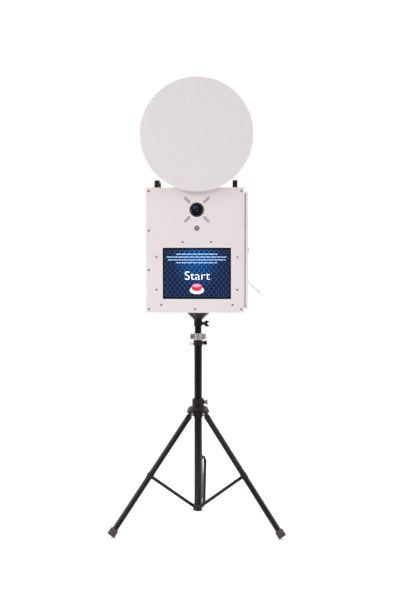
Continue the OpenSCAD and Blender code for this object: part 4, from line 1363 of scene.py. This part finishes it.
@dataclass
class Camera:
    """The camera on its shelf, its lens, the printed arrows and the round button."""

    lens_d: float = 68.0
    arrow_l: float = 40.0

    def lens(self) -> None:
        """The barrel with its front rings, and the coated glass inside, with painted reflections on the
        glass: two thin grey rings and an amber glint.
        """
        box, glass = span_of("lens"), span_of("lens_glass")
        x, z, face = box.centre.x, box.centre.z, box.low.y
        r, length = self.lens_d / 2, box.size.y
        outline = [(0, 12), (r - 9, 12), (r - 7.5, 9.2), (r - 7.5, 7.4), (r - 6.2, 7.0), (r - 6.2, 5.0),
                   (r - 5, 4.6)]
        for i in range(4):
            outline += [(r - 4.4, 4.0 - i), (r - 4.0, 3.6 - i)]
        outline += [(r - 3.4, 0.3), (r - 2.8, 0), (r - 0.8, 0), (r, 0.8), (r, 9)]
        for i in range(12):
            low = 10 + 3 * i
            outline += [(r - 0.4, low), (r - 1.2, low + 0.5), (r - 1.2, low + 1.8), (r - 0.4, low + 2.4)]
        outline += [(r - 1.5, length - 12), (r - 1.5, length), (0, length)]
        shape = Shape().turned(outline, Axis.Y.at(x, face, z), 96)
        settle(shape.object("lens.barrel"), BARREL_BLACK, "cabinet", stands_for=["lens"])
        bowl = r - 7.2
        rise = face + 9 - glass.low.y
        dome = [(0, 1.4), (bowl, 1.4), (bowl, 0.4)]
        dome += [(bowl * math.cos(a), -0.4 - min(rise, 5.5) * math.sin(a))
                 for a in (math.pi / 2 * i / 14 for i in range(1, 15))]
        front = Shape().turned(dome, Axis.Y.at(x, face + 8.6, z), 96)
        settle(front.object("lens_glass.element"), LENS_COATED, "cabinet", stands_for=["lens_glass"])
        # two thin grey rings lying on the glass: painted reflections of the light arcs inside the lens
        ring = Shape()
        for middle in ((19.5, 4.3), (12.5, 3.1)):
            ring.turned(oval(0.35, 0.25, 8, middle), Axis.Y.at(x, face, z), 72)
        settle(ring.object("lens_glass.inner_rings"), ABS_GREY, "cabinet", "lens_glass")
        # an amber spot on the glass that glows: a painted glint
        glint = Shape().prism(rounded(6, 1.5, 0.7, 4), 0, 0.3, Axis.BACK_Y.at(x + 1, face + 2.85, z - 2))
        settle(glint.object("lens_glass.glint"), AMBER_GLINT_PAINTED, "cabinet", "lens_glass")

    def arrows(self) -> None:
        """Four printed arrows that point at the lens."""
        panel, box = span_of("front_panel"), span_of("lens")
        tip = self.lens_d / 2 + 11
        neck, end = tip + 12, tip + self.arrow_l
        outline = [(tip, 0), (neck, 11.5), (neck, 6.2), (end, 6.2), (end, -6.2), (neck, -6.2),
                   (neck, -11.5)]
        encircle("arrow_marks.print", Shape().prism(outline, 0, 0.5), 4, 0,
                 (box.centre.x, panel.low.y, box.centre.z), TAUPE_INK, "cabinet",
                 facing=(math.pi / 2, math.pi / 4, 0.0), stands_for=["arrow_marks"])

    def button(self) -> None:
        """The steel push button: a turned bezel and a brushed cap."""
        ring, cap = span_of("button_bezel"), span_of("push_button")
        x, z, face = ring.centre.x, ring.centre.z, ring.low.y
        r = ring.size.x / 2
        bore = r - 4
        outline = [(bore, 1.2), (bore + 0.8, 0.1), (bore + 1.6, 0), (r - 1.2, 0.3), (r - 0.2, 1.2), (r, 2),
                   (r - 2.1, 2.0), (r - 2.1, ring.size.y), (bore, ring.size.y)]
        bezel = Shape().turned(outline, Axis.Y.at(x, face, z), 72)
        settle(bezel.object("button_bezel.turned"), BRUSHED_STEEL, "cabinet", stands_for=["button_bezel"])
        radius, deep = cap.size.x / 2, cap.size.y
        dome = [(0, deep), (radius, deep), (radius, 1.0), (radius - 0.3, 0.4), (radius - 1.1, 0.05),
                (radius - 2.2, 0.0), (radius - 2.6, 0.35), (radius * 0.5, 0.25), (0, 0.2)]
        top = Shape().turned(dome, Axis.Y.at(x, cap.low.y, z), 72)
        settle(top.object("push_button.cap"), BRUSHED_STEEL, "button_body", stands_for=["push_button"])

    def body_details(self) -> None:
        """The camera's dials, shoe and rear screen, seen with the door open."""
        box = span_of("camera_body")
        back, top = box.high.y, box.high.z
        shape = Shape()
        shape.prism(rounded(76, 52, 3), 0, 1.6, Axis.Y.at(box.centre.x - 8, back, box.centre.z - 12))
        for x, r in ((44, 9), (-34, 7)):
            shape.turned([(0, 0), (r, 0), (r, 7), (r - 1, 8), (0, 8)],
                         Axis.Z.at(box.centre.x + x, box.centre.y, top - 18), 32)
        shape.block((box.centre.x - 9, box.centre.y - 8, top),
                    (box.centre.x + 9, box.centre.y + 8, top + 1.5))
        settle(shape.object("camera_body.dials", 0.5), ABS_BLACK, "cabinet", "black_plastic")

    def build(self) -> None:
        """Makes the camera group."""
        refine("camera_body", ABS_BLACK, 4.0, 4)
        refine("camera_shelf", ZINC_SHEET, 0.4)
        self.body_details()
        self.lens()
        self.arrows()
        self.button()


@dataclass
class Inside:
    """The printer, its shelf, the small computer and the power inlet."""

    slots: int = 14

    def printer(self) -> None:
        """The printer's case with its fascia, lamps and cooling slots."""
        refine("printer", ABS_GREY, 5.0, 4)
        box = span_of("printer")
        tray = span_of("print_tray")
        y, face = tray.centre.y, box.high.x
        fascia = Shape()
        outline = rounded(box.size.y - 24, 60, 6)
        hole = rounded(tray.size.y - 14, 12, 3)
        exit_z = tray.high.z + 14
        shift = [(p[0], p[1] - 12) for p in outline]
        rings = [[(p[0], p[1], h) for p in ring] for ring, h in (
            (shift, 0.0), (shift, 2.0), (hole, 2.0), (hole, 0.0))]
        fascia.loft(rings, closed=True, place=Axis.X.at(face, box.centre.y, exit_z))
        settle(fascia.object("printer.fascia", 0.6), ABS_BLACK, "cabinet", "black_plastic")
        lamp = Shape().prism(rounded(7, 3, 1.2, 3), 0, 0.6, Axis.X.at(face + 2.0, y - 60, exit_z - 26))
        settle(lamp.object("printer.ready_lamp", 0.1), READY_LAMP, "cabinet", "black_plastic")
        rib = Shape().prism(rounded(2.4, 34, 1.1, 3), 0, 0.8)
        top = [(box.centre.x - 70 + 11 * i, box.centre.y, box.high.z) for i in range(self.slots)]
        strew("printer.cooling_ribs", rib, top, ABS_BLACK, "cabinet", "black_plastic")

    def inlet(self) -> None:
        """The mains inlet with its three pins."""
        refine("power_inlet", ABS_BLACK, 0.8, 3)
        box = span_of("power_inlet")
        pin = Shape().prism(rounded(2.0, 4.6, 0.9, 3), 0, 11)
        x, z, back = box.centre.x, box.centre.z, box.high.y - 18
        places = [(x - 7, back, z - 3), (x, back, z + 3.5), (x + 7, back, z - 3)]
        strew("power_inlet.pins", pin, places, TURNED_STEEL, "cabinet", "bright_steel",
              facing=(-math.pi / 2, 0.0, 0.0))

    def build(self) -> None:
        """Makes what the door hides."""
        self.printer()
        self.inlet()
        refine("printer_shelf", ZINC_SHEET, 0.4)
        refine("mini_pc", ABS_BLACK, 4.0, 4)
        box = span_of("mini_pc")
        fin = Shape().prism(rounded(120, 2.2, 1.0, 2), 0, 1.0)
        rows = [(box.centre.x, box.centre.y - 60 + 10 * i, box.high.z) for i in range(13)]
        strew("mini_pc.fins", fin, rows, ABS_GREY, "cabinet", "black_plastic")


# ---- the flash ----


@dataclass
class Flash:
    """The flash head on its post, the beauty dish and the cloth cover over it."""

    rim_r: float = 274.0
    neck_r: float = 62.0
    lip: float = 12.0
    power: float = 0.72
    wall: float = 1.6
    around: int = 160  # steps of the cloth round its edge
    rings: int = 46  # and from its middle to its edge
    pull_limit: float = 1.2  # how far a point of the cloth may settle
    fold_scale: float = 1.7

    def dish(self) -> None:
        """The spun reflector, its rolled rim and its mounting ring."""
        box = span_of("dish")
        centre = Vector((box.centre.x, box.low.y, box.centre.z))
        bowl = DISH.grow("dish.bowl", Rim=(self.rim_r - 0.4) * MM, Neck=self.neck_r * MM,
                         Lip=self.lip * MM, Depth=box.size.y * MM, Power=self.power, Around=129, Steps=40,
                         Centre=centre * MM, Material=DISH_WHITE.material())
        skin = bowl.modifiers.new("sheet", "SOLIDIFY")
        skin.thickness = self.wall * MM
        skin.offset = -1.0
        settle(bowl, DISH_WHITE, "flash_body", stands_for=["dish"])
        r, w = self.rim_r, self.wall
        rim = [(r, self.lip + 0.6), (r - w, self.lip + 0.6), (r - w, 2.2), (r - w - 2.2, 1.6),
               (r - w - 2.4, 0.6), (r - 2, 0.0), (r - 0.5, 0.4), (r, 1.4)]
        neck, deep = self.neck_r, box.size.y
        ring = [(neck + 3, deep - 8), (neck + 3, deep - 1), (neck + 2, deep), (neck - 6, deep),
                (neck - 6, deep - 4), (neck - 1, deep - 5)]
        shape = Shape().turned(rim, Axis.Y.at(*centre), 128)
        shape.turned(ring, Axis.Y.at(*centre), 96)
        settle(shape.object("dish.rim_and_neck"), DISH_WHITE, "flash_body", "white_paint")

    def head(self) -> None:
        """The flash head with its cooling ribs, rear dial and lamps."""
        refine("flash_head", ABS_BLACK, 2.2, 4)
        box = span_of("flash_head")
        x, back = box.centre.x, box.high.y
        z = span_of("dish").centre.z
        rib = Shape().prism(rounded(2.4, 1.6, 0.7, 2), -34, 34)
        encircle("flash_head.ribs", rib, 36, 55, (x, back - 60, z), ABS_BLACK, "flash_body",
                 "black_plastic", (math.pi / 2, 0.0, 0.0))
        rear = Shape()
        rear.turned([(0, 0), (48, 0), (48, 1.4), (46.5, 2), (0, 2)], Axis.Y.at(x, back, z), 72)
        rear.turned([(0, 2), (14, 2), (13.5, 11), (12.5, 12), (0, 12)], Axis.Y.at(x, back, z - 18), 40)
        for s in (-1, 1):
            rear.prism(rounded(13, 8, 2), 2, 4.5, Axis.Y.at(x + s * 24, back, z + 22))
        settle(rear.object("flash_head.rear_panel", 0.3), ABS_GREY, "flash_body", "black_plastic")

    def cover(self) -> None:
        """The cloth cover: pulled tight over the rim, with faint folds, by a cloth simulation."""
        box, rim = span_of("diffuser_sock"), span_of("dish")
        centre = Vector((rim.centre.x, box.low.y + 0.8, rim.centre.z))
        reach = box.size.x / 2 - 0.9
        around, rings = self.around, self.rings
        shape = bmesh.new()
        hub = shape.verts.new(centre * MM)

        def point(turn: int, radius: float, back: float) -> Any:
            """One vertex of the cloth, so many steps round and so far behind the face."""
            a = FULL_TURN * turn / around
            spot = centre + Vector((radius * math.cos(a), back, radius * math.sin(a)))
            return shape.verts.new(spot * MM)

        rows = [[point(i, reach * (k / rings), 0.0) for i in range(around)] for k in range(1, rings + 1)]
        waves = [self.gather(FULL_TURN * i / around) for i in range(around)]
        for step, (out, back) in enumerate(((0.5, 1.4), (0.6, 4.5), (0.6, 8.0), (0.4, 10.8))):
            swell = 0.25 if step else 0.0
            rows.append([point(i, reach + out + swell * wave, back + 0.35 * wave * step)
                         for i, wave in enumerate(waves)])
        for i in range(around):
            j = (i + 1) % around
            shape.faces.new((hub, rows[0][i], rows[0][j]))
            for near, far in zip(rows, rows[1:]):
                shape.faces.new((near[i], far[i], far[j], near[j]))
        bmesh.ops.recalc_face_normals(shape, faces=shape.faces)
        made = mesh_object(shape, "diffuser_sock.cloth", 0.0, 1)
        held = range(1 + around * (rings - 1), 1 + around * (rings + 4))
        self.pull_tight(made, held)
        self.crease(made, centre, reach)
        for face in made.data.polygons:
            face.use_smooth = True
        smooth = made.modifiers.new("smooth", "SUBSURF")
        smooth.levels = smooth.render_levels = 1
        thick = made.modifiers.new("thickness", "SOLIDIFY")
        thick.thickness = 0.4 * MM
        thick.offset = 0.0
        settle(made, SOCK_CLOTH, "flash_body", stands_for=["diffuser_sock"])

    def gather(self, angle: float) -> float:
        """How far the elastic puckers the band at an angle, in millimetres."""
        return 0.35 * math.sin(9 * angle + 2 * math.sin(5 * angle)) + 0.25 * math.sin(23 * angle)

    def pull_tight(self, cloth: bpy.types.Object, held: Iterable[int]) -> None:
        """Lets the cloth settle between its held edge points, and applies the result.

        Args:
            cloth: The cover, which is changed.
            held: The points on the rim and the band, which stay where they are.
        """
        group = cloth.vertex_groups.new(name="held")
        group.add(list(held), 1.0, "REPLACE")
        rest = [v.co.copy() for v in cloth.data.vertices]
        modifier = cloth.modifiers.new("cloth", "CLOTH")
        settings = modifier.settings
        settings.vertex_group_mass = "held"
        settings.quality = 6
        settings.mass = 0.15
        settings.tension_stiffness = 25
        settings.compression_stiffness = 25
        settings.bending_stiffness = 0.4
        settings.shrink_min = -0.0012
        settings.effector_weights.gravity = 0.12
        scene = bpy.context.scene
        for step in range(1, 22):
            scene.frame_set(step)
        graph = bpy.context.evaluated_depsgraph_get()
        settled = cloth.evaluated_get(graph).to_mesh()
        moved = [v.co.copy() for v in settled.vertices]
        cloth.evaluated_get(graph).to_mesh_clear()
        cloth.modifiers.remove(modifier)
        scene.frame_set(1)
        most = self.pull_limit * MM
        for vertex, start, end in zip(cloth.data.vertices, rest, moved):
            shift = end - start
            if shift.length > most:
                shift *= most / shift.length
            vertex.co = start + shift

    def crease(self, cloth: bpy.types.Object, centre: Vector, reach: float) -> None:
        """Adds the long soft folds and the short gathers at the rim.

        Args:
            cloth: The cover, which is changed.
            centre: The middle of its face, in millimetres.
            reach: The radius of its face, in millimetres.
        """
        # direction in degrees, height, start, end and width of each long fold
        folds = [(14, 0.9, 60, 272, 9), (2, 0.6, 110, 272, 8), (38, 0.8, 150, 272, 7),
                 (-40, 0.7, 140, 270, 9), (-62, 0.6, 120, 272, 8), (-84, 0.7, 130, 272, 9),
                 (-101, 0.6, 150, 270, 7), (-120, 0.6, 160, 272, 8), (160, 0.4, 170, 270, 9),
                 (78, 0.4, 190, 272, 7)]
        for vertex in cloth.data.vertices:
            here = vertex.co / MM - centre
            r = math.hypot(here.x, here.z)
            if r > reach - 0.5:
                continue
            angle = math.atan2(here.z, here.x)
            push = 0.0
            for degrees, tall, start, stop, wide in folds:
                a = math.radians(degrees)
                along = here.x * math.cos(a) + here.z * math.sin(a)
                across = -here.x * math.sin(a) + here.z * math.cos(a)
                across += 7 * math.sin(along / 70 + degrees)
                if start < along < stop:
                    fade = math.sin(math.pi * (along - start) / (stop - start)) ** 0.7
                    push += tall * fade * math.exp(-((across / wide) ** 2))
            rim = math.exp(-((reach - r) / 26)) * (1 - math.exp(-(reach - r) / 3))
            low = 0.45 + 0.55 * max(0.0, -math.sin(angle))
            push += 0.5 * low * rim * math.sin(46 * angle + 3 * math.sin(7 * angle))
            push += 0.35 * noise.noise(Vector((here.x / 55, here.z / 70, 0.4))) * (1 - (r / reach) ** 6)
            vertex.co.y -= push * self.fold_scale * MM

    def build(self) -> None:
        """Makes the flash group."""
        refine("flash_post", TUBE_BLACK, 0.8)
        refine("tilt_lever", NYLON_BLACK, 1.6, 3)
        self.dish()
        self.head()
        self.cover()


# ---- the studio ----


@dataclass
class Studio:
    """Camera, floor, backdrop light and soft boxes. None of it is part of the booth."""

    stand_off: float = 4.36
    aside: float = 0.1536
    eye: float = 1.36
    pitch: float = 2.96
    yaw: float = 1.62
    paper_front: float = 1600.0  # how far the paper comes forward, in millimetres
    paper_glow: float = 0.16
    side_glow: float = 1.9  # tall white panels at both sides, which draw the light along the legs

    def camera(self) -> None:
        """A level view from the front, a little to the right."""
        data = bpy.data.cameras.new("camera")
        data.lens = 50
        data.sensor_width = 36
        data.clip_end = 60
        made = bpy.data.objects.new("camera", data)
        bpy.context.scene.collection.objects.link(made)
        made.location = (self.aside, -self.stand_off, self.eye)
        made.rotation_euler = (math.radians(90 - self.pitch), 0, math.radians(self.yaw))
        bpy.context.scene.camera = made

    def floor(self) -> None:
        """A white paper sweep that ends before the camera and glows as pale as the backdrop."""
        depth = 9600
        place = Matrix.Translation((0, depth / 2 - self.paper_front, 0))
        shape = Shape().prism(rounded(14000, depth, 300, 8), -6, 0, place)
        made = shape.object("studio_floor")
        paint = Finish("matt_white_floor", "#f6f5f5", 0.9)
        made.data.materials.append(paint.material())
        shader = paint.material().node_tree.nodes["Principled BSDF"]
        shader.inputs["Emission Color"].default_value = (1, 1, 1, 1)
        shader.inputs["Emission Strength"].default_value = self.paper_glow

    def backdrop(self) -> None:
        """White behind and beside the booth, and a dimmer room on the camera's side."""
        world = bpy.data.worlds.new("white_studio")
        bpy.context.scene.world = world
        world.use_nodes = True
        tree = world.node_tree
        room = tree.nodes["Background"]
        way = add_node(tree, "ShaderNodeTexCoord").outputs["Generated"]
        parts = add_node(tree, "ShaderNodeSeparateXYZ", {0: way})
        share = add_node(tree, "ShaderNodeMapRange", {
            "Value": parts.outputs["Y"], "From Min": -0.15, "From Max": 0.3, "To Min": 0.3, "To Max": 1.08},
            interpolation_type="SMOOTHSTEP")
        room.inputs["Color"].default_value = (1, 1, 1, 1)
        aside = add_node(tree, "ShaderNodeMath", {0: parts.outputs["X"]}, operation="ABSOLUTE")
        sides = [
            add_node(tree, "ShaderNodeMapRange", {
                "Value": value, "From Min": low, "From Max": high}, interpolation_type="SMOOTHSTEP")
            for value, low, high in ((aside.outputs[0], 0.42, 0.75), (parts.outputs["Z"], 0.08, 0.34))
        ]
        panels = add_node(tree, "ShaderNodeMath", {
            0: sides[0].outputs["Result"], 1: sides[1].outputs["Result"]}, operation="MULTIPLY")
        power = add_node(tree, "ShaderNodeMath", {
            0: panels.outputs[0], 1: self.side_glow, 2: share.outputs["Result"]},
            operation="MULTIPLY_ADD")
        tree.links.new(power.outputs[0], room.inputs["Strength"])

    def soft_box(self, name: str, place: Point, target: Point, width: float, height: float,
                 watts: float) -> None:
        """An area light that looks at a point.

        Args:
            name: The light's name.
            place: Where it stands, in metres.
            target: What it looks at, in metres.
            width: Its width in metres.
            height: Its height in metres.
            watts: Its power.
        """
        data = bpy.data.lights.new(name, "AREA")
        data.shape = "RECTANGLE"
        data.size, data.size_y = width, height
        data.energy = watts
        made = bpy.data.objects.new(name, data)
        bpy.context.scene.collection.objects.link(made)
        made.location = place
        made.rotation_euler = (Vector(target) - Vector(place)).to_track_quat("-Z", "Y").to_euler()

    def build(self) -> None:
        """Makes the studio."""
        self.camera()
        self.floor()
        self.backdrop()
        self.soft_box("key_box", (-1.2, -4.8, 3.2), (0, 0, 1.4), 2.6, 1.6, 40)
        self.soft_box("left_box", (-2.6, -1.3, 2.2), (0, 0, 0.9), 1.1, 1.8, 30)
        self.soft_box("right_box", (2.6, -1.3, 2.2), (0, 0, 0.9), 1.1, 1.8, 20)


def main() -> None:
    """Builds the studio and the booth."""
    logging.basicConfig(level=logging.INFO, format="%(message)s")
    bpy.context.scene.view_settings.view_transform = "Standard"
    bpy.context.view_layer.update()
    assemblies = [Studio(), Mast(), Hub(), Legs(), PoleMount(), Cabinet(), Door(), Screen(), Camera(),
                  Inside(), Flash()]
    for assembly in assemblies:
        log.info("== %s", type(assembly).__name__)
        assembly.build()


if __name__ == "__main__":
    main()
